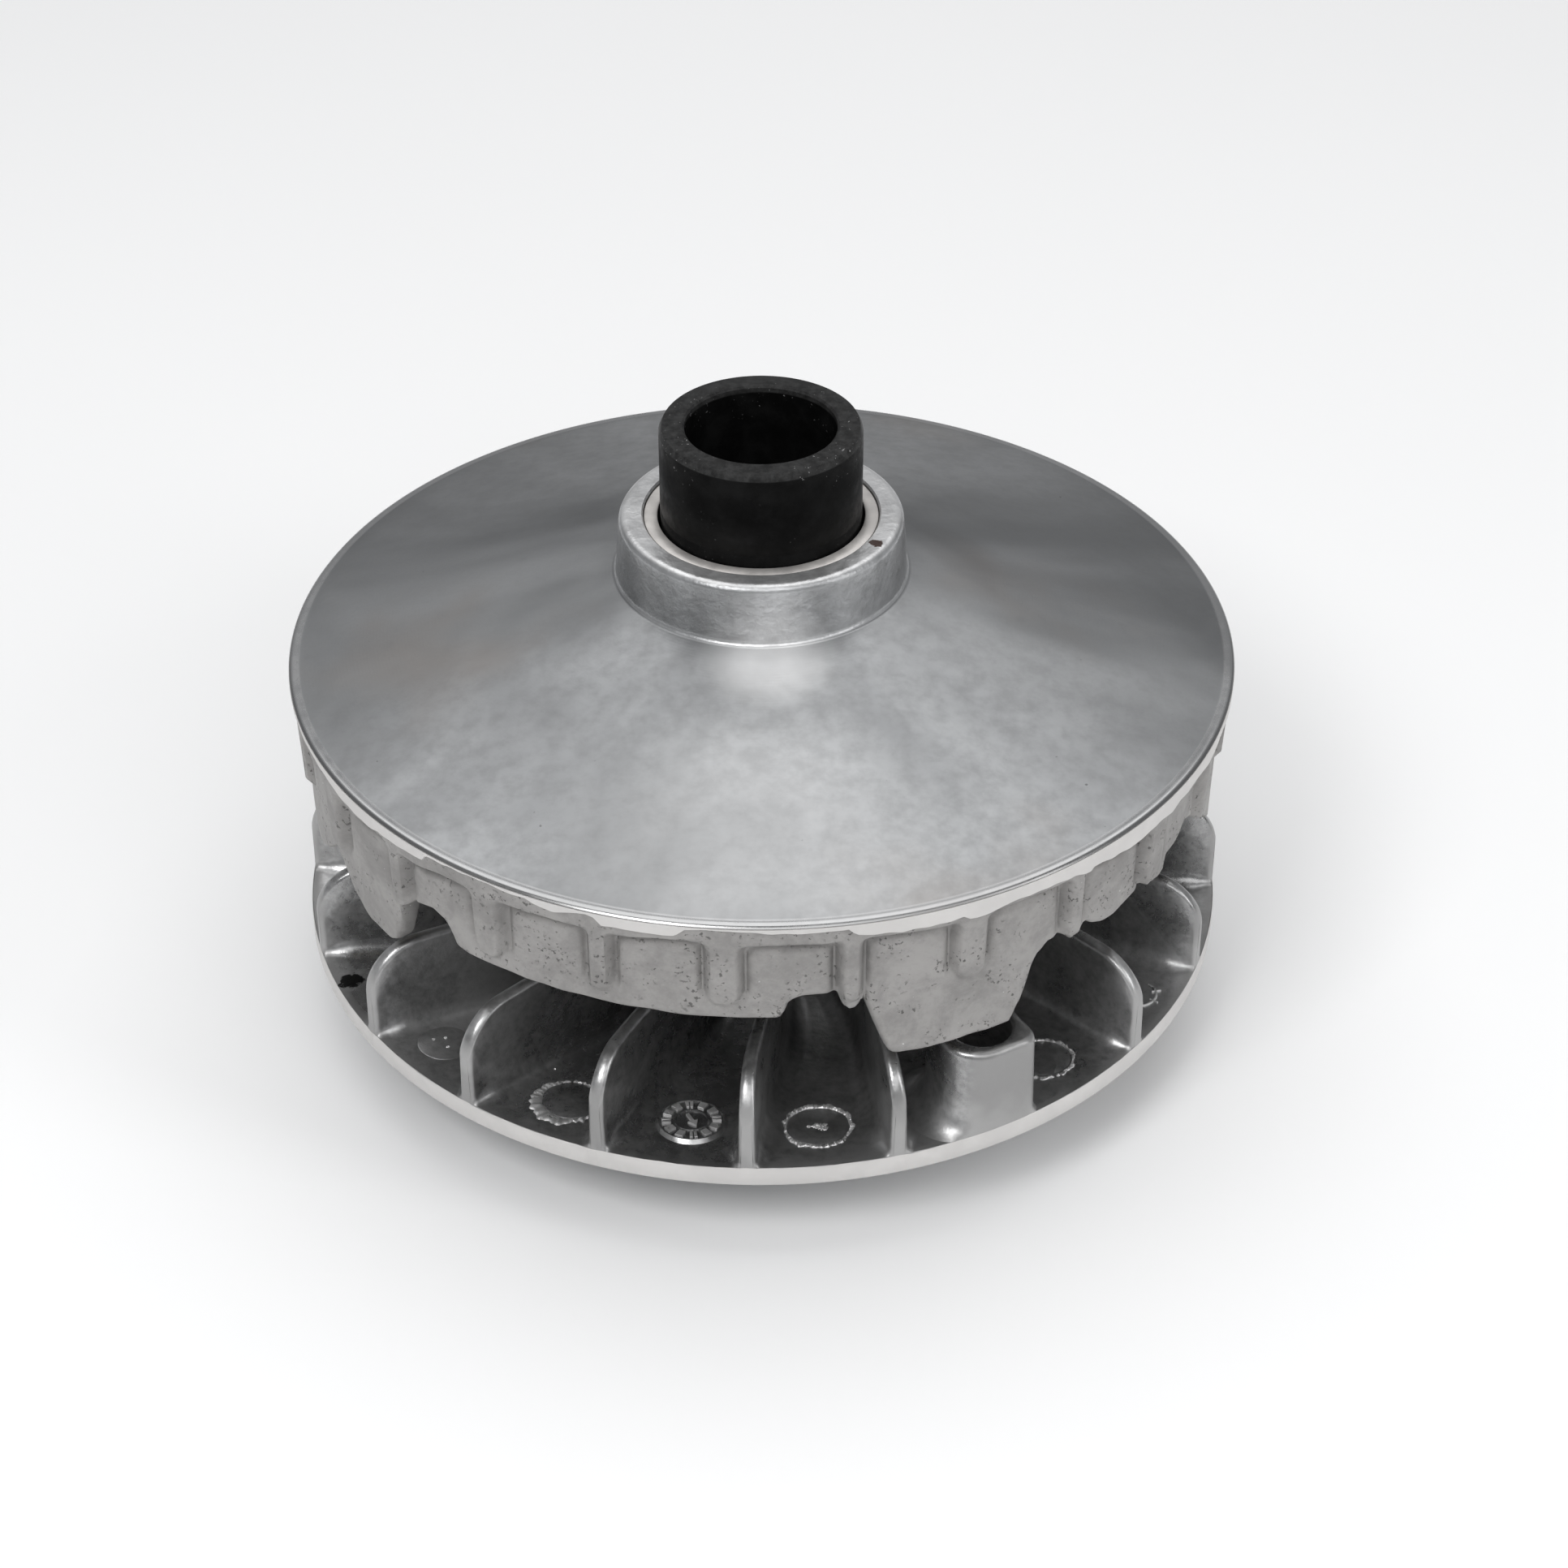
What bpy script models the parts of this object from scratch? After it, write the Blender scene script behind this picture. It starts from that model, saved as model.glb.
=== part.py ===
"""Driving pulley set of a belt transmission: fan sheave, sliding sheave, sleeve, cam plate and rollers.

The frame is +Z up, with the origin on the axis at the fan sheave's hub end face.
Angles are degrees about the axis, 0 towards -Y and positive towards +X.
"""
import math

import bmesh
import bpy
from mathutils import Matrix, Vector

MM = 0.001
GAP = 0.3 * MM                     # clearance between touching pieces
MERGE = 0.00005

# Driving dimensions, in metres
DISC_R = 95.0 * MM
CONE_ANGLE = math.radians(14.6)    # belt face slope of both sheaves
CONE_TAN = math.tan(CONE_ANGLE)

FAN_RIM_Z = 18.0 * MM              # lower edge of the fan sheave's rim
FAN_RIM_H = 4.3 * MM
FAN_FLOOR_TAN = math.tan(math.radians(5.0))
FAN_TOWER_R = 27.5 * MM
FAN_TOWER_TOP = 40.0 * MM
HUB_FACE_R = 27.5 * MM
VANE_TOP = 42.1 * MM
VANE_THICK = 3.0 * MM
VANE_CORNER_R = 11.0 * MM
VANE_COUNT = 20
VANE_START = -2.0
VANE_SWING = 0.9                   # uneven pitch, degrees
VANE_CURVE = 0.0037                # degrees of lead per square millimetre of depth
VANE_INNER_R = 58.0 * MM           # inside this the vane tops fall towards the hub
VANE_FALL = 0.65
VANE_STATIONS = [94.7, 93.6, 91.2, 88, 84, 76, 67, 58, 48, 39]    # radii of a vane's sections, in mm
FLOOR_IN_R = 31.5 * MM             # the fan floor runs in to the foot of the hub tower
TOOL_BOSS_ANGLE = 28.7
TOOL_BOSS_SLOT = 2                 # place in the ring of vanes that the boss takes
TOOL_BOSS_TOP = VANE_TOP - 0.7 * MM
TOOL_BOSS_R = (76.9 * MM, 94.6 * MM)
TOOL_BOSS_Y = (-9.2 * MM, 8.35 * MM)
TOOL_HOLE_AT = 86.4 * MM
TOOL_HOLE_R = 5.9 * MM

INSERT_R = 20.0 * MM
INSERT_TOP = 43.7 * MM
SPLINE_LAND_R = 12.8 * MM
SPLINE_ROOT_R = 14.0 * MM
SPLINE_TEETH = 20

SHEAVE_Z = 80.1 * MM               # upper rim edge of the sliding sheave at rest
PLATE_T = 4.5 * MM                 # thickness of the sliding sheave's cone
HUB_R = 28.9 * MM                  # foot of the hub, which narrows slightly upward
HUB_TOP_R = 28.2 * MM
HUB_TOP = SHEAVE_Z + 29.8 * MM
HUB_INNER_R = 29.0 * MM            # the hub's outside, below the cone
HUB_BOTTOM = 58.0 * MM
BAND_H = 5.0 * MM
SKIRT_R = 91.3 * MM
SKIRT_INNER_R = 87.0 * MM
WALL_OUT_R = SKIRT_INNER_R + 1.0 * MM
SKIRT_DROP = 23.0                  # mm below the rim edge
LUG_DROP = 35.0
RIB_COUNT = 25
RIB_START = -4.5
RIB_R = 94.4 * MM
RIB_DROP = 19.5 * MM
RIB_WIDTHS = (6.0 * MM, 3.8 * MM)  # wide and narrow, in turn

SLEEVE_R = 19.9 * MM
SLEEVE_BORE_R = 14.9 * MM
SLEEVE_TOP = 129.5 * MM
BUSH_R = 22.0 * MM
BUSH_SPACING = 12.0 * MM           # between the two bushes
SEAL_R = 23.0 * MM
SEAL_DEPTH = 6.2 * MM
SEAL_LIP_R = 20.6 * MM
SEAL_LIP_DEPTH = 1.4 * MM

ROLLER_COUNT = 8
ROLLER_R = 15.0 * MM
ROLLER_W = 15.0 * MM
ROLLER_CORE_R = 11.0 * MM
ROLLER_HOLE_R = 4.5 * MM
ROLLER_START_R = 48.0 * MM
ROLLER_CLEARANCE = 0.45 * MM
ROLLER_ANGLE = 1.0                 # first roller
ROLLER_EDGE = 1.2 * MM
CAM_ANGLE = math.radians(20.0)
CAM_T = 4.0 * MM
CAM_R = 80.0 * MM
CAM_HUB_R = 22.0 * MM
CAM_HUB_BOTTOM = INSERT_TOP + GAP
CAM_FLAT_TOP = 50.9 * MM
CAM_FLAT_R = 36.0 * MM

SLIDER_COUNT = 4
SLIDER_ANGLE = 23.5
SLIDER_HALF_W = 6.7 * MM
SLIDER_IN, SLIDER_OUT = 76.5 * MM, 86.2 * MM
SLIDER_LOW, SLIDER_HIGH = 57.5 * MM, 72.5 * MM
TAB_HALF_W = 4.5 * MM
TAB_OUT = 83.0 * MM
TAB_LOW, TAB_HIGH = 60.6 * MM, 64.4 * MM
GUIDE_T = 3.5 * MM
GUIDE_IN = 75.0 * MM
GUIDE_LOW = 52.0 * MM
POCKET_WALL_T = 2.5 * MM
POCKET_IN_R = 25.6 * MM
POCKET_LIFT = 4.0 * MM             # the pocket walls end this far above the cam plate
POCKET_HALF_W = ROLLER_W / 2 + 0.5 * MM

BIG_STEPS = 60
MID_STEPS = 48
ROLLER_STEPS = 32

# The skirt's lower edge as (degrees, mm below the rim edge): six lugs, notches beside them, and rib
# ends that hang below the notches
SKIRT_EDGE = [
    (-158, 21), (-145, 34.5), (-141, LUG_DROP), (-138, 20.5), (-136.5, 18.2), (-132, 18), (-129.5, 20.5),
    (-127, SKIRT_DROP), (-98.5, SKIRT_DROP),
    (-97, 33), (-95, LUG_DROP), (-79, LUG_DROP), (-76, 34), (-70, 29), (-64.7, 23.5),
    (-62.8, 26), (-60, 30), (-56, 32.2), (-52.5, 32), (-50.6, 30.6), (-49.2, 28.5), (-47.4, 21.5),
    (-46.4, 17.8), (-45.2, 16.6), (-42.2, 15.8), (-40.4, 16.8), (-38.8, 21.2), (-37.4, 21.9),
    (-9, 23.4), (2, 23.4), (3.2, 21.2), (4.4, 19.2), (6.6, 18.5), (8.4, 18.5), (9.0, 20.0), (9.8, 20.9),
    (10.6, 20.6), (11.3, 20.1), (12.1, 21.9), (13.6, 28.2), (14.8, 33.1), (16.2, LUG_DROP),
    (30.2, LUG_DROP), (31.2, 33), (32.2, 29.6), (33, 24.8), (34, 21.1), (35.1, 19.1), (36.6, 18.3),
    (37.6, 18.9), (39, 20.7), (40.2, 21), (41.1, 19.2), (42.3, 20.1), (44.2, 21.3), (46.3, 21.5),
    (49.2, 20.2), (51, 18.9), (52.6, 20.4), (54.2, 21.6), (56, 22.1), (57, 21.4), (57.6, 18.4), (59.7, 17.2),
    (61.6, 15.8), (63.4, 15.5), (67, 18.8), (74, 27), (80, 34), (83, LUG_DROP), (94, LUG_DROP), (97, 20),
    (99, 18), (104, 19), (106, SKIRT_DROP), (137, SKIRT_DROP), (138.5, 18.5), (145, 18.5), (146.5, 22),
    (150.8, LUG_DROP), (165, LUG_DROP), (171, 19.5), (173, 19), (175, SKIRT_DROP), (188, SKIRT_DROP),
]


def clear_scene():
    for obj in list(bpy.data.objects):
        bpy.data.objects.remove(obj, do_unlink=True)
    for col in list(bpy.data.collections):
        bpy.data.collections.remove(col)


def new_collection(name):
    col = bpy.data.collections.new(name)
    bpy.context.scene.collection.children.link(col)
    return col


def new_material(name, color, metallic, roughness):
    mat = bpy.data.materials.new(name)
    mat.use_nodes = True
    shader = mat.node_tree.nodes["Principled BSDF"]
    shader.inputs["Base Color"].default_value = (*color, 1.0)
    shader.inputs["Metallic"].default_value = metallic
    shader.inputs["Roughness"].default_value = roughness
    return mat


def link(name, mesh, material=None):
    """A part when it has a material, otherwise a hidden tool for a Boolean."""
    obj = bpy.data.objects.new(name, mesh)
    if material:
        PARTS.objects.link(obj)
        mesh.materials.append(material)
    else:
        CUTTERS.objects.link(obj)
        obj.hide_render = True
        obj.display_type = "WIRE"
    return obj


def turned(name, profile, steps, material=None):
    """Turn a closed (radius, z) outline, whose outer side runs top to bottom, about Z."""
    mesh = bpy.data.meshes.new(name)
    count = len(profile)
    edges = [(i, (i + 1) % count) for i in range(count)]
    mesh.from_pydata([(r, 0.0, z) for r, z in profile], edges, [])
    obj = link(name, mesh, material)
    screw = obj.modifiers.new("turn", "SCREW")
    screw.steps = screw.render_steps = steps
    screw.use_merge_vertices = True
    screw.merge_threshold = MERGE
    screw.use_smooth_shade = True
    return obj


def boolean(obj, tool, operation):
    mod = obj.modifiers.new(operation.lower(), "BOOLEAN")
    mod.operation = operation
    mod.object = tool
    mod.solver = "EXACT"


def radial_matrix(degrees):
    """Local X outward at the given angle, local Y tangential, local Z up."""
    return Matrix.Rotation(math.radians(degrees - 90.0), 4, "Z")


def extrude_outline(bm, points, offset, matrix):
    """A prism from a flat outline, which is extruded by the offset vector."""
    face = bm.faces.new([bm.verts.new(matrix @ Vector(p)) for p in points])
    result = bmesh.ops.extrude_face_region(bm, geom=[face])
    moved = [v for v in result["geom"] if isinstance(v, bmesh.types.BMVert)]
    shift = matrix.to_3x3() @ Vector(offset)
    bmesh.ops.translate(bm, verts=moved, vec=shift)


def fin(bm, outline, side_low, side_high, degrees):
    """A radial fin: a (radius, z) outline between two tangential offsets."""
    points = [(r, side_low, z) for r, z in outline]
    extrude_outline(bm, points, (0, side_high - side_low, 0), radial_matrix(degrees))


def block(bm, r_range, half_width, z_range, degrees):
    (r0, r1), (z0, z1) = r_range, z_range
    fin(bm, [(r0, z0), (r1, z0), (r1, z1), (r0, z1)], -half_width, half_width, degrees)


def prism(bm, outline, z_low, z_high, matrix=None):
    """An upright prism from an (x, y) outline."""
    extrude_outline(bm, [(x, y, z_low) for x, y in outline], (0, 0, z_high - z_low), matrix or Matrix())


def finish(name, bm, material=None):
    bmesh.ops.recalc_face_normals(bm, faces=bm.faces)
    mesh = bpy.data.meshes.new(name)
    bm.to_mesh(mesh)
    bm.free()
    return link(name, mesh, material)


def rounded_rectangle(x_low, x_high, y_low, y_high, radius, steps=3):
    corners = [(x_high, y_high, 0), (x_low, y_high, 90), (x_low, y_low, 180), (x_high, y_low, 270)]
    points = []
    for x, y, start in corners:
        cx = x - math.copysign(radius, x - (x_low + x_high) / 2)
        cy = y - math.copysign(radius, y - (y_low + y_high) / 2)
        for i in range(steps + 1):
            a = math.radians(start + 90.0 * i / steps)
            points.append((cx + radius * math.cos(a), cy + radius * math.sin(a)))
    return points


def circle(radius, steps, cx=0.0, cy=0.0):
    turn = 2 * math.pi / steps
    return [(cx + radius * math.cos(turn * i), cy + radius * math.sin(turn * i)) for i in range(steps)]


def cone_top(r):
    """Belt face of the sliding sheave."""
    return SHEAVE_Z + (DISC_R - r) * CONE_TAN


def cone_under(r):
    return cone_top(r) - PLATE_T / math.cos(CONE_ANGLE)


ROLLER_Z = cone_under(ROLLER_START_R) - (ROLLER_R + ROLLER_CLEARANCE) / math.cos(CONE_ANGLE)


def cam_top(r):
    """Ramp that the rollers run on; the flat middle takes over inside CAM_FLAT_R."""
    drop = (ROLLER_R + ROLLER_CLEARANCE) / math.cos(CAM_ANGLE)
    return ROLLER_Z - drop + (r - ROLLER_START_R) * math.tan(CAM_ANGLE)


def fan_floor(r):
    return FAN_RIM_Z + FAN_RIM_H - (DISC_R - r) * FAN_FLOOR_TAN


def fan_cone(r):
    return FAN_RIM_Z - (DISC_R - r) * CONE_TAN


def vane_angle(k):
    pitch = 360.0 / VANE_COUNT
    return VANE_START + pitch * k - VANE_SWING * math.sin(math.radians(pitch * k))


def vane_top(r):
    corner = DISC_R - VANE_CORNER_R
    if r > corner:
        return VANE_TOP - VANE_CORNER_R + math.sqrt(max(VANE_CORNER_R ** 2 - (r - corner) ** 2, 0.0))
    return VANE_TOP - max(VANE_INNER_R - r, 0.0) * VANE_FALL


def vane_lead(r):
    """Plan curve of a vane: degrees ahead of its outer end."""
    return VANE_CURVE * ((DISC_R - r) / MM) ** 2 * min(1.0, r / (60 * MM))


def add_vane(bm, degrees):
    rings = []
    for station in VANE_STATIONS:
        r = station * MM
        turn = radial_matrix(degrees + vane_lead(r))
        low, high = fan_floor(r) - 1.2 * MM, vane_top(r)
        half = VANE_THICK / 2
        corners = [(r, -half, low), (r, half, low), (r, half, high), (r, -half, high)]
        rings.append([bm.verts.new(turn @ Vector(c)) for c in corners])
    for near, far in zip(rings, rings[1:]):
        for i in range(4):
            j = (i + 1) % 4
            bm.faces.new([near[i], near[j], far[j], far[i]])
    bm.faces.new(rings[0])
    bm.faces.new(rings[-1])


def spline_cutter(name, z_low, z_high):
    outline = []
    tooth = 2 * math.pi / SPLINE_TEETH
    inside = SPLINE_LAND_R - 0.4 * MM
    for i in range(SPLINE_TEETH):
        for part, r in ((-0.28, inside), (-0.2, SPLINE_ROOT_R), (0.2, SPLINE_ROOT_R), (0.28, inside)):
            a = tooth * (i + part)
            outline.append((r * math.cos(a), r * math.sin(a)))
    bm = bmesh.new()
    prism(bm, outline, z_low, z_high)
    return finish(name, bm)


def make_fan_sheave():
    bore, edge = INSERT_R + GAP, 1.5 * MM
    cone_foot = HUB_FACE_R + 0.7 * MM
    profile = [
        (bore, FAN_TOWER_TOP), (FAN_TOWER_R - edge, FAN_TOWER_TOP), (FAN_TOWER_R, FAN_TOWER_TOP - edge),
        (FAN_TOWER_R + 1 * MM, fan_floor(FLOOR_IN_R) + 3 * MM), (FLOOR_IN_R, fan_floor(FLOOR_IN_R)),
        (DISC_R, fan_floor(DISC_R)), (DISC_R, FAN_RIM_Z), (cone_foot, fan_cone(cone_foot)), (HUB_FACE_R, 0.0),
        (bore, 0.0),
    ]
    casting = turned("fan_sheave", profile, BIG_STEPS, CAST_DARK)

    bm = bmesh.new()
    for k in range(VANE_COUNT):
        if k != TOOL_BOSS_SLOT:
            add_vane(bm, vane_angle(k))
    bmesh.ops.triangulate(bm, faces=bm.faces)
    boolean(casting, finish("vanes", bm), "UNION")

    turn = radial_matrix(TOOL_BOSS_ANGLE)
    bm = bmesh.new()
    outline = rounded_rectangle(*TOOL_BOSS_R, *TOOL_BOSS_Y, 4 * MM)
    prism(bm, outline, fan_floor(TOOL_BOSS_R[0]) - 1 * MM, TOOL_BOSS_TOP, turn)
    boolean(casting, finish("tool_boss", bm), "UNION")
    bm = bmesh.new()
    outline = circle(TOOL_HOLE_R, 24, TOOL_HOLE_AT)
    prism(bm, outline, fan_floor(TOOL_HOLE_AT) + 2 * MM, TOOL_BOSS_TOP + 2 * MM, turn)
    boolean(casting, finish("tool_hole", bm), "DIFFERENCE")


def make_hub_insert():
    edge = 0.8 * MM
    profile = [
        (SPLINE_LAND_R, INSERT_TOP), (INSERT_R - edge, INSERT_TOP), (INSERT_R, INSERT_TOP - edge),
        (INSERT_R, edge), (INSERT_R - edge, 0.0), (SPLINE_LAND_R, 0.0),
    ]
    insert = turned("fan_hub_insert", profile, MID_STEPS, STEEL)
    boolean(insert, spline_cutter("insert_spline", -5 * MM, INSERT_TOP + 5 * MM), "DIFFERENCE")


def skirt_edge_cutter():
    """Everything below the skirt's lower edge: a ring whose top follows SKIRT_EDGE."""
    bm = bmesh.new()
    inner, outer, low = SKIRT_INNER_R - 0.8 * MM, DISC_R + 3 * MM, SHEAVE_Z - 42 * MM
    angles = []
    for (a0, z0), (a1, z1) in zip(SKIRT_EDGE, SKIRT_EDGE[1:] + [(SKIRT_EDGE[0][0] + 360, SKIRT_EDGE[0][1])]):
        pieces = max(1, round((a1 - a0) / 12.0))
        for i in range(pieces):
            angles.append((a0 + (a1 - a0) * i / pieces, z0 + (z1 - z0) * i / pieces))
    rings = []
    for degrees, drop in angles:
        turn = radial_matrix(degrees)
        high = SHEAVE_Z - drop * MM
        corners = [(inner, 0, low), (outer, 0, low), (outer, 0, high), (inner, 0, high)]
        rings.append([bm.verts.new(turn @ Vector(c)) for c in corners])
    for near, far in zip(rings, rings[1:] + rings[:1]):
        for i in range(4):
            j = (i + 1) % 4
            bm.faces.new([near[i], near[j], far[j], far[i]])
    bmesh.ops.triangulate(bm, faces=bm.faces)
    return finish("skirt_edge", bm)


def make_sliding_sheave():
    seal_bore, bush_bore = SEAL_R + GAP, BUSH_R + GAP
    rim_edge = 0.5 * MM
    ceiling_r, hub_foot_r = SKIRT_INNER_R + 0.4 * MM, HUB_INNER_R + 2 * MM
    skirt_low = SHEAVE_Z - (LUG_DROP + 1) * MM
    profile = [
        (seal_bore, HUB_TOP), (HUB_TOP_R - 1.7 * MM, HUB_TOP), (HUB_TOP_R - 0.5 * MM, HUB_TOP - 0.5 * MM),
        (HUB_TOP_R, HUB_TOP - 1.7 * MM), (HUB_R, cone_top(HUB_R) + 1 * MM),
        (HUB_R + 1.5 * MM, cone_top(HUB_R + 1.5 * MM)), (DISC_R - rim_edge, cone_top(DISC_R - rim_edge)),
        (DISC_R, SHEAVE_Z - rim_edge), (DISC_R, SHEAVE_Z - BAND_H), (SKIRT_R, SHEAVE_Z - BAND_H - 1.2 * MM),
        (SKIRT_R - 0.3 * MM, skirt_low), (SKIRT_INNER_R, skirt_low), (ceiling_r, cone_under(ceiling_r)),
        (hub_foot_r, cone_under(hub_foot_r)), (HUB_INNER_R, cone_under(hub_foot_r) - 2 * MM),
        (HUB_INNER_R, HUB_BOTTOM + 1 * MM), (HUB_INNER_R - 1 * MM, HUB_BOTTOM), (seal_bore, HUB_BOTTOM),
        (seal_bore, HUB_BOTTOM + SEAL_DEPTH), (bush_bore, HUB_BOTTOM + SEAL_DEPTH),
        (bush_bore, HUB_TOP - SEAL_DEPTH), (seal_bore, HUB_TOP - SEAL_DEPTH),
    ]
    casting = turned("sliding_sheave", profile, BIG_STEPS, CAST_LIGHT)
    boolean(casting, skirt_edge_cutter(), "DIFFERENCE")
    boolean(casting, skirt_ribs(), "UNION")
    boolean(casting, roller_pockets(), "UNION")
    boolean(casting, slider_guides(), "UNION")


def skirt_ribs():
    bm = bmesh.new()
    root, low, high = SKIRT_R - 1.5 * MM, SHEAVE_Z - RIB_DROP, SHEAVE_Z - BAND_H + 1 * MM
    outline = [
        (root, low + 1 * MM), (RIB_R - 1.6 * MM, low), (RIB_R, low + 2 * MM), (RIB_R, high), (root, high)]
    for i in range(-(RIB_COUNT // 2), RIB_COUNT // 2 + 1):
        width = RIB_WIDTHS[i % 2]
        fin(bm, outline, -width / 2, width / 2, RIB_START + 360.0 * i / RIB_COUNT)
    return finish("skirt_ribs", bm)


def inner_wall(r_in, low_points):
    """Outline of a radial wall inside the sliding sheave, from its lower points up into the cone."""
    overlap = 1.5 * MM
    return low_points + [(WALL_OUT_R, cone_under(WALL_OUT_R) + overlap), (r_in, cone_under(r_in) + overlap)]


def roller_pockets():
    bm = bmesh.new()
    bend_r = 40 * MM
    outline = inner_wall(POCKET_IN_R, [
        (POCKET_IN_R, cam_top(POCKET_IN_R) + 2 * POCKET_LIFT), (bend_r, cam_top(bend_r) + POCKET_LIFT),
        (WALL_OUT_R, cam_top(WALL_OUT_R) + POCKET_LIFT)])
    for k in range(ROLLER_COUNT):
        degrees = ROLLER_ANGLE + 360.0 * k / ROLLER_COUNT
        fin(bm, outline, POCKET_HALF_W, POCKET_HALF_W + POCKET_WALL_T, degrees)
        fin(bm, outline, -POCKET_HALF_W - POCKET_WALL_T, -POCKET_HALF_W, degrees)
    return finish("roller_pockets", bm)


def slider_guides():
    bm = bmesh.new()
    slot, edge = SLIDER_HALF_W + GAP, 2 * MM
    outline = inner_wall(GUIDE_IN, [
        (GUIDE_IN, GUIDE_LOW + edge), (GUIDE_IN + edge, GUIDE_LOW), (WALL_OUT_R, GUIDE_LOW)])
    for k in range(SLIDER_COUNT):
        degrees = SLIDER_ANGLE + 360.0 * k / SLIDER_COUNT
        fin(bm, outline, slot, slot + GUIDE_T, degrees)
        fin(bm, outline, -slot - GUIDE_T, -slot, degrees)
    return finish("slider_guides", bm)


def make_bushes_and_seals():
    running = SLEEVE_R + GAP
    middle = (HUB_TOP + HUB_BOTTOM) / 2
    low, high = HUB_BOTTOM + SEAL_DEPTH + GAP, HUB_TOP - SEAL_DEPTH - GAP
    for name, z0, z1 in (("bush_upper", middle + BUSH_SPACING / 2, high),
                         ("bush_lower", low, middle - BUSH_SPACING / 2)):
        turned(name, [(running, z1), (BUSH_R, z1), (BUSH_R, z0), (running, z0)], MID_STEPS, BRONZE)

    face, back = HUB_TOP - GAP, HUB_TOP - SEAL_DEPTH + GAP
    upper = [(SEAL_LIP_R, face), (SEAL_R, face), (SEAL_R, back), (running, back),
             (running, face - SEAL_LIP_DEPTH), (SEAL_LIP_R, face - SEAL_LIP_DEPTH)]
    turned("seal_upper", upper, MID_STEPS, SEAL_STEEL)
    face, back = HUB_BOTTOM + GAP, HUB_BOTTOM + SEAL_DEPTH - GAP
    lower = [(running, back), (SEAL_R, back), (SEAL_R, face), (SEAL_LIP_R, face),
             (SEAL_LIP_R, face + SEAL_LIP_DEPTH), (running, face + SEAL_LIP_DEPTH)]
    turned("seal_lower", lower, MID_STEPS, SEAL_STEEL)


def make_sleeve():
    outer, inner, edge_h = 0.6 * MM, 0.4 * MM, 1.2 * MM
    low = CAM_FLAT_TOP + GAP
    profile = [
        (SLEEVE_BORE_R + inner, SLEEVE_TOP), (SLEEVE_R - outer, SLEEVE_TOP), (SLEEVE_R, SLEEVE_TOP - edge_h),
        (SLEEVE_R, low + edge_h), (SLEEVE_R - outer, low), (SLEEVE_BORE_R + inner, low),
        (SLEEVE_BORE_R, low + inner), (SLEEVE_BORE_R, SLEEVE_TOP - inner),
    ]
    turned("sleeve", profile, MID_STEPS, BLACK_STEEL)


def make_cam_plate():
    drop = CAM_T / math.cos(CAM_ANGLE)
    ramp_r = CAM_FLAT_R + 2 * MM
    profile = [
        (SPLINE_LAND_R, CAM_FLAT_TOP), (CAM_FLAT_R, cam_top(CAM_FLAT_R)), (CAM_R, cam_top(CAM_R)),
        (CAM_R, cam_top(CAM_R) - drop), (ramp_r, cam_top(ramp_r) - drop),
        (CAM_HUB_R + 1 * MM, CAM_FLAT_TOP - 4.4 * MM), (CAM_HUB_R, CAM_HUB_BOTTOM),
        (SPLINE_LAND_R, CAM_HUB_BOTTOM),
    ]
    plate = turned("cam_plate", profile, BIG_STEPS, PLATE_STEEL)
    boolean(plate, spline_cutter("cam_spline", CAM_HUB_BOTTOM - 4 * MM, CAM_FLAT_TOP + 4 * MM), "DIFFERENCE")

    notch_in = GUIDE_IN - 1 * MM
    notch_half = SLIDER_HALF_W + GAP + GUIDE_T + 1.2 * MM
    notches, tabs = bmesh.new(), bmesh.new()
    for k in range(SLIDER_COUNT):
        degrees = SLIDER_ANGLE + 360.0 * k / SLIDER_COUNT
        block(notches, (notch_in, CAM_R + 6 * MM), notch_half, (50 * MM, 76 * MM), degrees)
        block(tabs, (notch_in - 4 * MM, TAB_OUT), TAB_HALF_W, (TAB_LOW, TAB_HIGH), degrees)
    boolean(plate, finish("cam_notches", notches), "DIFFERENCE")
    boolean(plate, finish("cam_tabs", tabs), "UNION")


def make_sliders():
    for k in range(SLIDER_COUNT):
        degrees = SLIDER_ANGLE + 360.0 * k / SLIDER_COUNT
        bm = bmesh.new()
        block(bm, (SLIDER_IN, SLIDER_OUT), SLIDER_HALF_W, (SLIDER_LOW, SLIDER_HIGH), degrees)
        slider = finish(f"slider_{k + 1}", bm, SLIDER_PLASTIC)
        bm = bmesh.new()
        block(bm, (SLIDER_IN - 3 * MM, TAB_OUT + GAP), TAB_HALF_W + GAP, (TAB_LOW - GAP, TAB_HIGH + GAP),
              degrees)
        boolean(slider, finish(f"slider_{k + 1}_slot", bm), "DIFFERENCE")


def make_rollers():
    """Each roller's axis is tangential; it stands at the inner end of its ramp."""
    half = ROLLER_W / 2
    core_half = half - 0.2 * MM
    bore, edge = ROLLER_CORE_R + GAP, ROLLER_EDGE
    shell = [(bore, half), (ROLLER_R - edge, half), (ROLLER_R, half - edge), (ROLLER_R, edge - half),
             (ROLLER_R - edge, -half), (bore, -half)]
    core = [(ROLLER_HOLE_R, core_half), (ROLLER_CORE_R, core_half), (ROLLER_CORE_R, -core_half),
            (ROLLER_HOLE_R, -core_half)]
    lay_down = Matrix.Rotation(math.radians(90.0), 4, "X")
    for k in range(ROLLER_COUNT):
        turn = radial_matrix(ROLLER_ANGLE + 360.0 * k / ROLLER_COUNT)
        place = turn @ Matrix.Translation((ROLLER_START_R, 0, ROLLER_Z)) @ lay_down
        for name, profile, steps, material in (("roller_shell", shell, ROLLER_STEPS, ROLLER_PLASTIC),
                                               ("roller_core", core, ROLLER_STEPS - 8, BRASS)):
            obj = turned(f"{name}_{k + 1}", profile, steps, material)
            obj.matrix_world = place


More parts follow.
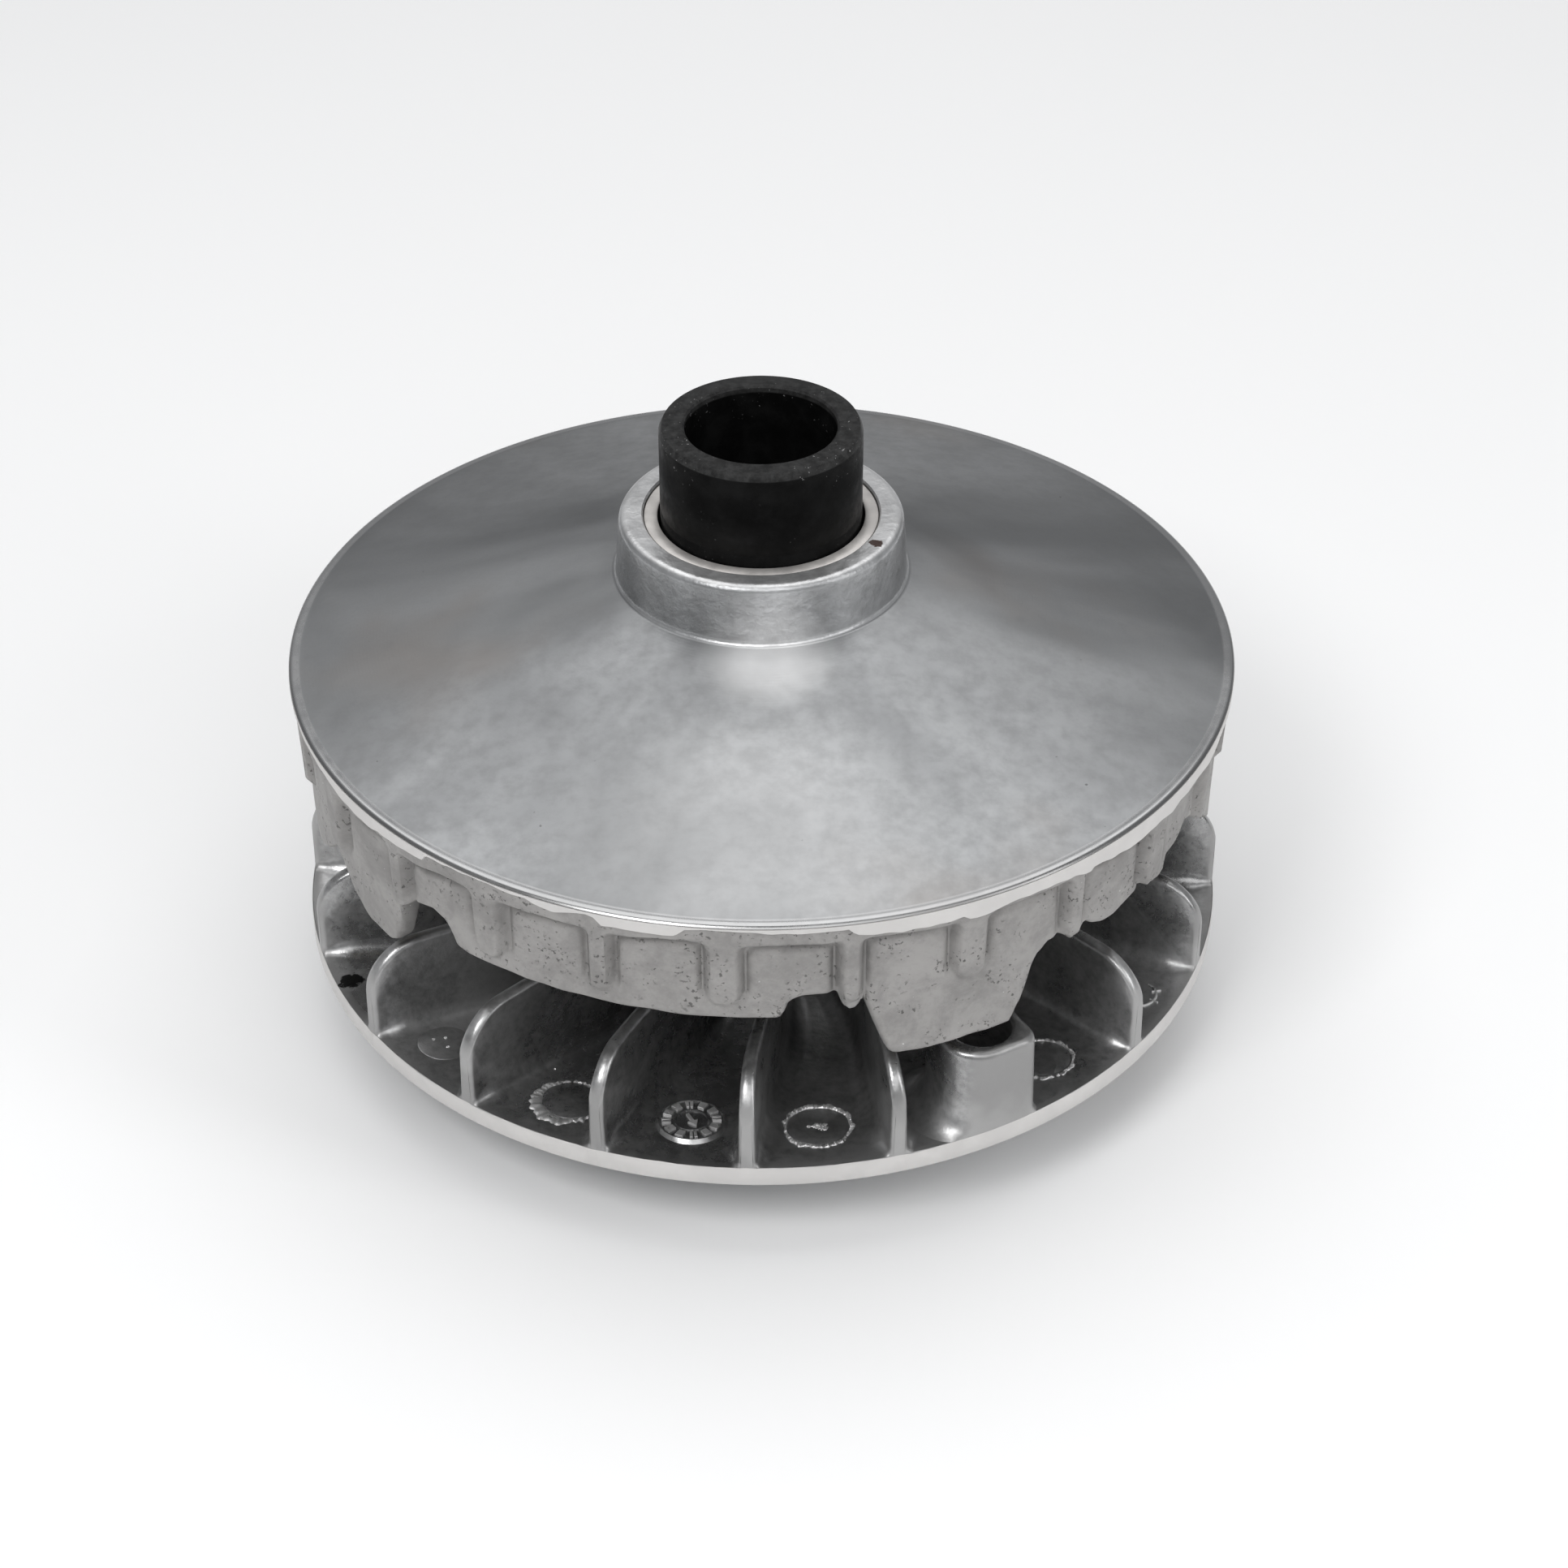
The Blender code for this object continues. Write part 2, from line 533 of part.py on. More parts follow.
clear_scene()
PARTS = new_collection("cvt_pulley_set")
CUTTERS = new_collection("cutters")

CAST_DARK = new_material("cast_aluminium_dark", (0.33, 0.33, 0.34), 1.0, 0.42)
CAST_LIGHT = new_material("cast_aluminium", (0.46, 0.46, 0.47), 1.0, 0.38)
STEEL = new_material("machined_steel", (0.40, 0.40, 0.41), 1.0, 0.35)
SEAL_STEEL = new_material("seal_case", (0.58, 0.57, 0.53), 1.0, 0.35)
BLACK_STEEL = new_material("black_steel", (0.02, 0.02, 0.02), 0.8, 0.35)
PLATE_STEEL = new_material("plate_steel", (0.30, 0.30, 0.31), 1.0, 0.45)
BRONZE = new_material("bronze", (0.42, 0.30, 0.16), 1.0, 0.40)
BRASS = new_material("brass", (0.60, 0.45, 0.20), 1.0, 0.35)
SLIDER_PLASTIC = new_material("slider_plastic", (0.72, 0.69, 0.60), 0.0, 0.50)
ROLLER_PLASTIC = new_material("roller_plastic", (0.05, 0.06, 0.09), 0.0, 0.45)

make_fan_sheave()
make_hub_insert()
make_sliding_sheave()
make_bushes_and_seals()
make_sleeve()
make_cam_plate()
make_sliders()
make_rollers()
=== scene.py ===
"""Looks of a driving pulley set: fine castings, steel sleeve and inner pieces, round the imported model.

Shapes are worked out in millimetres about the +Z axis.
Angles are in degrees, 0 towards -Y and positive towards +X.
"""
import math

import bmesh
import bpy
import numpy as np
from mathutils import Matrix, Vector


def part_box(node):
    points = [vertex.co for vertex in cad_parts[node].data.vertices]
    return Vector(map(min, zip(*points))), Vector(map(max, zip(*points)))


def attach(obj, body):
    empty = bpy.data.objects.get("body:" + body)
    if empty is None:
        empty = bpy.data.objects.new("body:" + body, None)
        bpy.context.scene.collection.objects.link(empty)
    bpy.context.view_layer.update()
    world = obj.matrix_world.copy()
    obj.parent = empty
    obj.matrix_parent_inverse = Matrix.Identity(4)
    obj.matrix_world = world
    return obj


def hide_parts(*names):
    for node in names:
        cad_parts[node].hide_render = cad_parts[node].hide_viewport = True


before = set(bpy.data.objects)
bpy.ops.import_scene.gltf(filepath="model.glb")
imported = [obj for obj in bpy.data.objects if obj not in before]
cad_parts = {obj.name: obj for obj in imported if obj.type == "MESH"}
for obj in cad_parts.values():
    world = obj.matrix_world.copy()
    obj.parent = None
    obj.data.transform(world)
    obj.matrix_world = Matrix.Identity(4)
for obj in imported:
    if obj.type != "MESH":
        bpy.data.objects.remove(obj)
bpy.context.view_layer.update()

MM = 0.001
FAN, SLIDING, CORE = "fan_side", "sliding_side", "drive_core"


# A CAD node's lowest and highest point and its outer radius, in millimetres

def low(node):
    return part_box(node)[0][2] / MM


def high(node):
    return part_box(node)[1][2] / MM


def reach(node):
    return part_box(node)[1][0] / MM


# ---- places and sizes, in millimetres

DISC_R = reach("sliding_sheave")
CONE_SLOPE = 14.6  # degrees, of both belt faces
CONE_TAN = math.tan(math.radians(CONE_SLOPE))
GAP = 0.3  # clearance between neighbouring pieces

VANE_TOP = high("fan_sheave")
FAN_RIM_BELOW, FAN_RIM_T = 24.1, 4.3
FAN_RIM_Z = VANE_TOP - FAN_RIM_BELOW
FLOOR_RIM_Z = FAN_RIM_Z + FAN_RIM_T
FLOOR_TILT = 5.0  # degrees, falling towards the hub
TOWER_R, TOWER_TOP = 27.5, 40.0
HUB_FACE_R = 27.5
FAN_BORE_R = reach("fan_hub_insert") + GAP
VANE_COUNT, VANE_START, VANE_SWING = 20, -2.0, 0.9
VANE_BEND, VANE_BEND_R = 0.0037, 60.0
VANE_SLOPE_R, VANE_SLOPE = 58.0, 0.65
VANE_ROOT_R, VANE_FULL_R = 37.6, 39.6
VANE_HALF, VANE_EDGE, VANE_FILLET, VANE_DRAFT = 1.45, 1.1, 3.9, 0.02
VANE_CORNER_R = 11.0
VANE_END_R, VANE_END_ROUND = 94.8, 0.95
BOSS_SLOT, BOSS_ANGLE, BOSS_HOLE_R, BOSS_HOLE_AT = 2, 28.7, 5.9, 86.4
BOSS_OUTER, BOSS_INNER, BOSS_LEFT, BOSS_RIGHT = 94.8, 76.9, -9.2, 8.35
BOSS_TOP = VANE_TOP - 0.7

HUB_LENGTH, HUB_STANDS = 51.9, 29.8
HUB_TOP = high("sliding_sheave")
HUB_LOW = HUB_TOP - HUB_LENGTH
SHEAVE_Z = HUB_TOP - HUB_STANDS  # height of the upper rim
HUB_R, HUB_TOP_R, HUB_INNER_R = 28.9, 28.2, 29.0
PLATE_T = 4.65  # the cone's thickness along the axis
SEAL_BORE_R = reach("seal_upper") + GAP
BUSH_BORE_R = reach("bush_upper") + GAP
SEAL_DEPTH = 6.2
PANEL_R, VALLEY_DEPTH, SKIRT_INNER_R = 92.6, 1.1, 87.1
RIB_R, RIB_COUNT, RIB_START, RIB_DROP = 94.5, 25, -4.5, 19.5
RIB_HALF_WIDE, RIB_HALF_NARROW = 2.9, 1.8
BAND_DROP = 4.9
SKIRT_DROP, LUG_DROP = 23.0, 35.0

SLEEVE_TOP, SLEEVE_LOW, SLEEVE_R, SLEEVE_BORE_R = high("sleeve"), low("sleeve"), reach("sleeve"), 14.9
ROLLER_COUNT, ROLLER_ANGLE, ROLLER_AT, ROLLER_R, ROLLER_HALF = 8, 1.0, 48.0, 15.0, 7.5
ROLLER_Z = (low("roller_shell_1") + high("roller_shell_1")) / 2
CAM_TAN, CAM_DROP, CAM_FLAT_R, CAM_R = math.tan(math.radians(20.0)), 16.44, 36.0, 80.0
CAM_TOP, CAM_LOW, CAM_THICK = SLEEVE_LOW - GAP, low("cam_plate"), 4.26
SPLINE_TEETH, SPLINE_LAND_R, SPLINE_ROOT_R = 20, 12.8, 14.0
SLIDER_COUNT, SLIDER_ANGLE, SLIDER_HALF = 4, 23.5, 6.7
SLIDER_LOW, SLIDER_HIGH, SLIDER_IN, SLIDER_OUT = low("slider_1"), high("slider_1"), 76.5, 86.2
TAB_LOW, TAB_HIGH, TAB_OUT, TAB_HALF = 60.6, 64.4, 83.0, 4.5
POCKET_WALL, POCKET_HALF = 2.5, 8.0
GUIDE_T, GUIDE_IN, GUIDE_LOW = 3.5, 75.0, 52.0

# The skirt's lower edge as (degrees, mm below the rim): lugs, notches beside them, and rib ends that
# hang below the notches
SKIRT_EDGE = [
    (-158, 21), (-145, 34.5), (-141, LUG_DROP), (-138, 20.5), (-136.5, 18.2), (-132, 18), (-129.5, 20.5),
    (-127, SKIRT_DROP), (-98.5, SKIRT_DROP),
    (-97, 33), (-95, LUG_DROP), (-79, LUG_DROP), (-76, 34), (-70, 29), (-64.7, 22.4),
    (-62.8, 25), (-60, 29), (-56, 31.4), (-51.5, 31.8), (-49.8, 30), (-47.9, 19.6), (-45.4, 17), (-42.2, 16),
    (-40.4, 17), (-38.6, 21.8), (-37, 22.4), (-9, 23.2), (1.7, 23.2), (2.3, 22.5), (2.75, 20.6), (3.1, 19.2),
    (3.6, 18.6), (4.4, 18.2), (8.3, 18.1), (8.5, 18.6), (8.8, 19.8), (9.2, 21.2), (9.8, 22.3), (10.4, 22.2),
    (10.9, 21.4), (11.25, 20.2), (11.4, 19.9), (11.7, 21.1), (12.24, 23.6), (13.24, 28.3), (14.2, 32.6),
    (14.9, 34.4), (15.9, LUG_DROP), (30.4, LUG_DROP), (32.2, 29.8), (33, 24.8), (34, 21.1), (35.1, 19),
    (37, 18.6), (37.7, 18.9), (38.3, 20), (39, 20.6), (40.1, 20.9), (40.7, 19.8), (41.2, 18.6), (42.3, 20.1),
    (44.2, 21.4), (46.3, 21.6), (49.1, 20.4), (50.75, 19.6), (51.3, 18.4), (52.7, 20.2), (54, 21.2),
    (55.6, 21.8), (57, 21.2), (57.8, 18.1), (59.7, 17.7), (61.1, 16.8), (62.4, 15.2), (64.5, 16.3),
    (68.4, 20.2), (74.4, 27), (80, 34), (83, LUG_DROP), (94, LUG_DROP), (97, 20), (99, 18), (104, 19),
    (106, SKIRT_DROP), (137, SKIRT_DROP), (138.5, 18.5), (145, 18.5), (146.5, 22), (150.8, LUG_DROP),
    (165, LUG_DROP), (171, 19.5), (173, 19), (175, SKIRT_DROP), (188, SKIRT_DROP),
]

# How far the machined strip reaches below the rim, as (degrees, mm): the raw casting's edge is uneven
STRIP_EDGE = [
    (-180, 2.6), (-120, 2.8), (-75, 1.2), (-66, 1.3), (-62, 1.7), (-57, 2.7), (-52, 3.1), (-50.5, 3.0),
    (-49.5, 2.6), (-45, 2.5), (-42.2, 2.4), (-41.6, 2.2), (-41.2, 0.8), (-39, 0.6), (-35.5, 0.5), (-32, 0.5),
    (-28.9, 0.9), (-27, 0.7), (-26.3, 1.3), (-25.3, 1.85), (-23.8, 2), (-22.3, 1.6), (-20.8, 0.75),
    (-19.4, 0.7), (-18.8, 1.2), (-18.5, 2.35), (-17.8, 2.65), (-16.2, 2.4), (-13.4, 2.6), (-11.1, 2.6),
    (-9.8, 2.4), (-9.2, 1.8), (-8.7, 0.9), (-6.2, 0.5), (-3.6, 0.6), (-0.9, 0.9), (1.7, 1.1), (4.4, 1.3),
    (7, 1.2), (9.5, 1.1), (9.9, 2.1), (10.4, 2.6), (12.4, 3), (15.2, 3.3), (20.4, 3.4), (22.6, 3.15),
    (23.6, 4.2), (24.8, 4.1), (26.3, 3.7), (28.4, 3.1), (34.4, 3), (37.4, 3.2), (39, 4.1), (39.9, 4.05),
    (40.25, 3.4), (41.8, 3.6), (47.5, 4.4), (52.3, 3.7), (55.1, 4.1), (56.9, 3.2), (59.1, 3.4), (61.4, 2.9),
    (65.5, 3.5), (70.5, 2.2), (100, 2.5), (150, 2.9), (180, 2.6),
]


def cone_z(r):
    """The sliding sheave's belt face."""
    return SHEAVE_Z + (DISC_R - r) * CONE_TAN


def floor_z(r):
    """The fan's floor between the vanes."""
    return FLOOR_RIM_Z - (DISC_R - r) * math.tan(math.radians(FLOOR_TILT))


def ceiling_z(r):
    """The sliding sheave's underside."""
    return cone_z(r) - PLATE_T


def cam_z(r):
    """The cam plate's top: flat near the sleeve, then a ramp under the rollers."""
    return max(CAM_TOP, ROLLER_Z - CAM_DROP + (r - ROLLER_AT) * CAM_TAN)


# ---- curves and unevenness

def even_degrees(count):
    return np.arange(count) * 360.0 / count


def spaced(start, count):
    return [start + 360.0 * k / count for k in range(count)]


def smoothstep(start, end, x):
    t = np.clip((x - start) / (end - start), 0.0, 1.0)
    return t * t * (3.0 - 2.0 * t)


def closed_outline(points, degrees, blur):
    """(degrees, value) pairs read at any angles, their corners rounded over about blur degrees."""
    xs = np.array([p[0] for p in points], float)
    ys = np.array([p[1] for p in points], float)
    steps = np.linspace(-2.0, 2.0, 9)
    weights = np.exp(-steps ** 2)
    values = sum(w * np.interp(degrees + s * blur, xs, ys, period=360.0) for s, w in zip(steps, weights))
    return values / weights.sum()


def ripple(degrees, z, seed, waves=12, turns=36):
    """Smooth seeded unevenness, mostly between -1 and 1, that closes round the axis."""
    rng = np.random.default_rng(seed)
    total = np.zeros(np.broadcast(degrees, z).shape)
    for _ in range(waves):
        total += np.sin(np.radians(degrees) * rng.integers(1, turns) + z * rng.uniform(-0.4, 0.4)
                        + rng.uniform(0, 2 * math.pi))
    return total / math.sqrt(waves)


def rounded_box(x, y, half_x, half_y, radius):
    """Signed distance to a rectangle with round corners, negative inside."""
    qx = np.abs(x) - half_x + radius
    qy = np.abs(y) - half_y + radius
    return np.hypot(np.maximum(qx, 0), np.maximum(qy, 0)) + np.minimum(np.maximum(qx, qy), 0) - radius


def soft_min(a, b, blend):
    """The smaller of two distances, rounded where they meet."""
    h = np.clip(0.5 + 0.5 * (b - a) / blend, 0.0, 1.0)
    return b + (a - b) * h - blend * h * (1.0 - h)


def arc(cx, cy, radius, start, end, count):
    return [(cx + radius * math.cos(a), cy + radius * math.sin(a))
            for a in np.radians(np.linspace(start, end, count))]


def ring_points(r, degrees, z):
    """Points at a radius, angle and height, each one number or an array."""
    r, a, z = np.broadcast_arrays(np.asarray(r, float), np.radians(degrees), np.asarray(z, float))
    return np.stack([r * np.sin(a), -r * np.cos(a), z], axis=-1)


# ---- mesh helpers

def place(mesh, body, node=None):
    """Put a mesh on a body as a piece, in place of a CAD node where one is named."""
    obj = bpy.data.objects.new(mesh.name, mesh)
    bpy.context.scene.collection.objects.link(obj)
    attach(obj, body)
    if node:
        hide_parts(node)
    return obj


def grid_mesh(name, points, materials, row_material=None, close_rows=True, recess=None, sharp=40.0):
    """A surface through points[row, column], closed round its columns; recess darkens hollows with painted
    shade.
    """
    rows, cols, _ = points.shape
    index = np.arange(rows * cols).reshape(rows, cols)
    near = index if close_rows else index[:-1]
    far = np.roll(index, -1, axis=0) if close_rows else index[1:]
    quads = np.stack([near, np.roll(near, -1, axis=1), np.roll(far, -1, axis=1), far], axis=-1)
    mesh = bpy.data.meshes.new(name)
    mesh.from_pydata((points.reshape(-1, 3) * MM).tolist(), [], quads.reshape(-1, 4).tolist())
    for material in materials:
        mesh.materials.append(material)
    if row_material is not None:
        kinds = np.repeat(row_material[:len(near)], cols).astype(np.int32)
        mesh.polygons.foreach_set("material_index", kinds)
    if recess is not None:
        attribute = mesh.attributes.new("recess", "FLOAT", "POINT")
        attribute.data.foreach_set("value", recess.reshape(-1).astype(np.float32))
    mesh.update()
    mesh.shade_smooth()
    mesh.set_sharp_from_angle(angle=math.radians(sharp))
    return mesh


def turned(name, outline, body, material, node=None, steps=96, matrix=None):
    """Turn a closed (radius, z) outline, whose outer side runs top to bottom, about the axis."""
    points = np.stack([ring_points(r, even_degrees(steps), z) for r, z in reversed(outline)])
    mesh = grid_mesh(name, points, [material])
    if matrix is not None:
        mesh.transform(in_metres(matrix))
    return place(mesh, body, node)


def turn(degrees, axis="Z"):
    return Matrix.Rotation(math.radians(degrees), 4, axis)


def radial_matrix(degrees, r=0.0, z=0.0):
    """At an angle, radius and height: local X outward, local Y towards the next angle, local Z up."""
    return turn(degrees - 90.0) @ Matrix.Translation((r, 0, z))


def in_metres(matrix):
    """The same placing for a mesh that is already in metres."""
    result = matrix.copy()
    result.translation = matrix.translation * MM
    return result


def prism(bm, points, offset, matrix):
    """A solid from a flat outline moved along an offset."""
    face = bm.faces.new([bm.verts.new((matrix @ Vector(p)) * MM) for p in points])
    extruded = bmesh.ops.extrude_face_region(bm, geom=[face])["geom"]
    moved = [g for g in extruded if isinstance(g, bmesh.types.BMVert)]
    bmesh.ops.translate(bm, verts=moved, vec=(matrix.to_3x3() @ Vector(offset)) * MM)


def emboss(bm, outline, z, height, matrix):
    """A flat (x, y) outline raised from z by a height."""
    prism(bm, [(x, y, z) for x, y in outline], (0, 0, height), matrix)


def fin(bm, outline, side_from, side_to, degrees):
    """A radial fin: a (radius, z) outline between two tangential offsets."""
    prism(bm, [(r, side_from, z) for r, z in outline], (0, side_to - side_from, 0), radial_matrix(degrees))


def bevelled(name, bm, body, material, width, node=None):
    """Finish a bmesh as a piece whose edges are rounded to a width."""
    bmesh.ops.recalc_face_normals(bm, faces=bm.faces)
    mesh = bpy.data.meshes.new(name)
    bm.to_mesh(mesh)
    bm.free()
    mesh.materials.append(material)
    mesh.shade_smooth()
    obj = place(mesh, body, node)
    bevel = obj.modifiers.new("bevel", "BEVEL")
    bevel.width = width * MM
    bevel.segments = 3
    bevel.limit_method = "ANGLE"
    bevel.harden_normals = True
    return obj


# ---- materials

class Shader:
    """A Principled material whose inputs come from short node expressions."""

    def __init__(self, name, **values):
        self.material = bpy.data.materials.new(name)
        self.material.use_nodes = True
        self.tree = self.material.node_tree
        self.bsdf = self.tree.nodes["Principled BSDF"]
        for key, value in values.items():
            self.bsdf.inputs[key.replace("_", " ")].default_value = value
        self.coords = self.node("ShaderNodeTexCoord").outputs["Object"]

    def node(self, kind, inputs=None, **settings):
        made = self.tree.nodes.new(kind)
        for key, value in settings.items():
            setattr(made, key, value)
        for key, value in (inputs or {}).items():
            self.feed(made.inputs[key], value)
        return made

    def feed(self, socket, value):
        if isinstance(value, bpy.types.NodeSocket):
            self.tree.links.new(value, socket)
        else:
            socket.default_value = value

    def math(self, operation, a, b=0.0):
        return self.node("ShaderNodeMath", {0: a, 1: b}, operation=operation).outputs[0]

    def times(self, a, b):
        return self.math("MULTIPLY", a, b)

    def noise(self, scale, detail=3.0, rough=0.55, vector=None, distortion=0.0):
        inputs = {"Vector": vector or self.coords, "Scale": scale, "Detail": detail, "Roughness": rough,
                  "Distortion": distortion}
        return self.node("ShaderNodeTexNoise", inputs).outputs["Fac"]

    def spread(self, value, start, end, to_start=0.0, to_end=1.0):
        """Map start..end smoothly to to_start..to_end, and clamp."""
        inputs = {"Value": value, "From Min": start, "From Max": end, "To Min": to_start, "To Max": to_end}
        return self.node("ShaderNodeMapRange", inputs, interpolation_type="SMOOTHSTEP").outputs["Result"]

    def patches(self, scale, detail, rough, *spread):
        return self.spread(self.noise(scale, detail, rough), *spread)

    def both(self, a, b, share):
        """Two values blended, with this share of the second."""
        return self.math("ADD", self.times(a, 1.0 - share), self.times(b, share))

    def mix(self, fac, a, b):
        made = self.node("ShaderNodeMix", data_type="RGBA")
        self.feed(made.inputs[0], fac)
        self.feed(made.inputs[6], a)
        self.feed(made.inputs[7], b)
        return made.outputs[2]

    def xyz(self):
        return self.node("ShaderNodeSeparateXYZ", {0: self.coords}).outputs

    def polar(self, around, outward):
        """Coordinates that follow the turning, so many units a radian and a metre outward, and radius."""
        x, y, z = self.xyz()
        r = self.math("SQRT", self.math("ADD", self.times(x, x), self.times(y, y)))
        safe = self.math("MAXIMUM", r, 0.001)
        inputs = {0: self.times(self.math("DIVIDE", x, safe), around),
                  1: self.times(self.math("DIVIDE", y, safe), around),
                  2: self.times(self.math("ADD", r, z), outward)}
        return self.node("ShaderNodeCombineXYZ", inputs).outputs[0], r

    def away(self, r, degrees, z):
        """Distance in metres from one place on the object."""
        point = tuple(ring_points(r, degrees, z) * MM)
        made = self.node("ShaderNodeVectorMath", {0: self.coords, 1: point}, operation="DISTANCE")
        return made.outputs["Value"]

    def stain(self, r, degrees, z, size):
        """A mask round one place on the object, with an uneven edge."""
        edge = self.times(self.math("SUBTRACT", self.noise(420.0, 3.0, 0.6), 0.5), size * MM * 2.0)
        distance = self.math("ADD", self.away(r, degrees, z), edge)
        return self.spread(distance, size * MM * 0.9, size * MM * 1.1, 1.0, 0.0)

    def bump(self, height, strength, distance, after=None):
        inputs = {"Height": height, "Strength": strength, "Distance": distance}
        if after is not None:
            inputs["Normal"] = after
        return self.node("ShaderNodeBump", inputs).outputs["Normal"]

    def use(self, **links):
        for key, value in links.items():
            self.feed(self.bsdf.inputs[key.replace("_", " ")], value)
        return self.material


def grey(value, warm=0.0):
    """A grey, redder with a positive warm and bluer with a negative one."""
    return (value * (1.0 + warm), value, value * (1.0 - warm), 1.0)


def machined_cone(name, dark, light, anisotropic=0.35, metallic=1.0, uneven=0.03, with_stain_and_highlight=False):
    """Satin turned aluminium with a painted highlight round the foot of the hub and another in front, a
    painted highlight on the rim's bead and painted shade in its groove. The hub's version also has a
    painted highlight along its top and a brown spot.
    """
    s = Shader(name, Metallic=metallic, Anisotropic=anisotropic)
    spokes, r = s.polar(1.3, 3.0)
    clouds = s.noise(15.0, 3.0, 0.5, distortion=0.9)
    tone = s.both(s.noise(1.4, 3.0, 0.5, vector=spokes), clouds, 0.6)
    base = s.mix(s.spread(tone, 0.34, 0.66), grey(dark, -0.02), grey(light, -0.015))
    fine = s.noise(240.0, 4.0, 0.65)
    base = s.mix(s.spread(fine, 0.3, 0.75, 0.0, 0.28), base, grey(dark * 0.8))
    brown = s.patches(14.0, 3.0, 0.6, 0.52, 0.70, 0.0, 0.5)
    base = s.mix(brown, base, (dark * 1.28, dark * 1.14, dark * 1.04, 1.0))
    inside = s.spread(r, 0.0922, 0.0928, 1.0, 0.0)  # of the bead, which is smooth
    nicks = s.times(s.patches(620.0, 1.0, 0.4, 0.80, 0.84), s.spread(r, 0.050, 0.085))
    nicks = s.times(nicks, inside)
    color = s.mix(s.times(nicks, 0.6), base, grey(0.08))
    # painted highlight on the rim's bead
    bead = s.times(s.spread(r, 0.0926, 0.0931), 0.55)
    color = s.mix(bead, color, grey(0.62))
    # painted shade in the groove round the rim
    groove = s.spread(r, 0.09435, 0.0946)
    color = s.mix(s.times(groove, 0.55), color, grey(0.08))
    # painted highlight round the foot of the hub, at the front
    painted_hub_highlight = s.spread(s.away(31.0, 2.0, cone_z(31.0)), 0.003, 0.016, 0.75, 0.0)
    color = s.mix(s.times(painted_hub_highlight, s.spread(tone, 0.3, 0.6, 0.6, 1.0)), color, grey(0.92))
    # painted highlight on the front of the cone, towards the rim
    painted_front_highlight = s.spread(s.away(80.0, -4.0, cone_z(80.0)), 0.008, 0.046, 0.42, 0.0)
    color = s.mix(s.times(painted_front_highlight, s.spread(clouds, 0.3, 0.7, 0.4, 1.0)), color, grey(0.66))
    if with_stain_and_highlight:
        # painted highlight along the top of the hub
        top_highlight = s.spread(s.xyz()[2], (HUB_TOP - 0.6) * MM, (HUB_TOP - 0.2) * MM, 0.0, 0.85)
        color = s.mix(top_highlight, color, grey(0.85))
        color = s.mix(s.stain(25.4, 61.0, HUB_TOP, 1.3), color, (0.09, 0.055, 0.045, 1.0))
        mottled = s.patches(150.0, 5.0, 0.7, 0.40, 0.66, 0.0, 0.32)
        color = s.mix(mottled, color, grey(dark * 0.7))
    rough = s.spread(s.both(clouds, fine, 0.4), 0.35, 0.68, 0.30, 0.46)
    rough = s.math("SUBTRACT", rough, s.times(bead, 0.2))
    lines = s.math("SINE", s.times(r, 9000.0))
    turning = s.bump(s.times(inside, lines), 0.04, 0.00002)
    dents = s.bump(s.times(inside, s.noise(150.0, 4.0, 0.6)), uneven, 0.0006, after=turning)
    nicked = s.bump(s.math("SUBTRACT", 1.0, nicks), 0.12, 0.0001, after=dents)
    tangent = s.node("ShaderNodeTangent", direction_type="RADIAL", axis="Z").outputs[0]
    return s.use(Base_Color=color, Roughness=rough, Normal=nicked, Tangent=tangent)


def raw_casting(name, dark, light, rough=(0.5, 0.68), metallic=0.5, warm=0.025):
    """Matt die-cast aluminium: mottled, pitted in places, with painted shade in its recesses."""
    s = Shader(name, Metallic=metallic)
    blotch = s.noise(75.0, 5.0, 0.62, distortion=0.6)
    fine = s.noise(620.0, 4.0, 0.7)
    base = s.mix(s.spread(s.both(blotch, fine, 0.4), 0.36, 0.64), grey(dark, warm), grey(light, warm))
    pits = s.times(s.patches(1100.0, 2.0, 0.6, 0.60, 0.67), s.spread(s.noise(130.0), 0.46, 0.58))
    color = s.mix(s.times(pits, 0.8), base, grey(dark * 0.35, warm))
    specks = s.times(s.patches(900.0, 1.0, 0.5, 0.76, 0.80), s.spread(s.noise(60.0), 0.48, 0.58))
    color = s.mix(specks, color, grey(0.85))
    # painted shade in the recesses, as much as the recess attribute gives
    recess_shade = s.node("ShaderNodeAttribute", attribute_name="recess").outputs["Fac"]
    recess_shade = s.times(recess_shade, s.spread(blotch, 0.25, 0.75, 0.85, 0.5))
    color = s.mix(recess_shade, color, grey(dark * 0.5, warm))
    grain = s.bump(s.both(blotch, fine, 0.35), 0.42, 0.0005)
    holes = s.bump(s.math("SUBTRACT", 1.0, pits), 0.6, 0.0003, after=grain)
    return s.use(Base_Color=color, Roughness=s.spread(fine, 0.3, 0.7, *rough), Normal=holes)


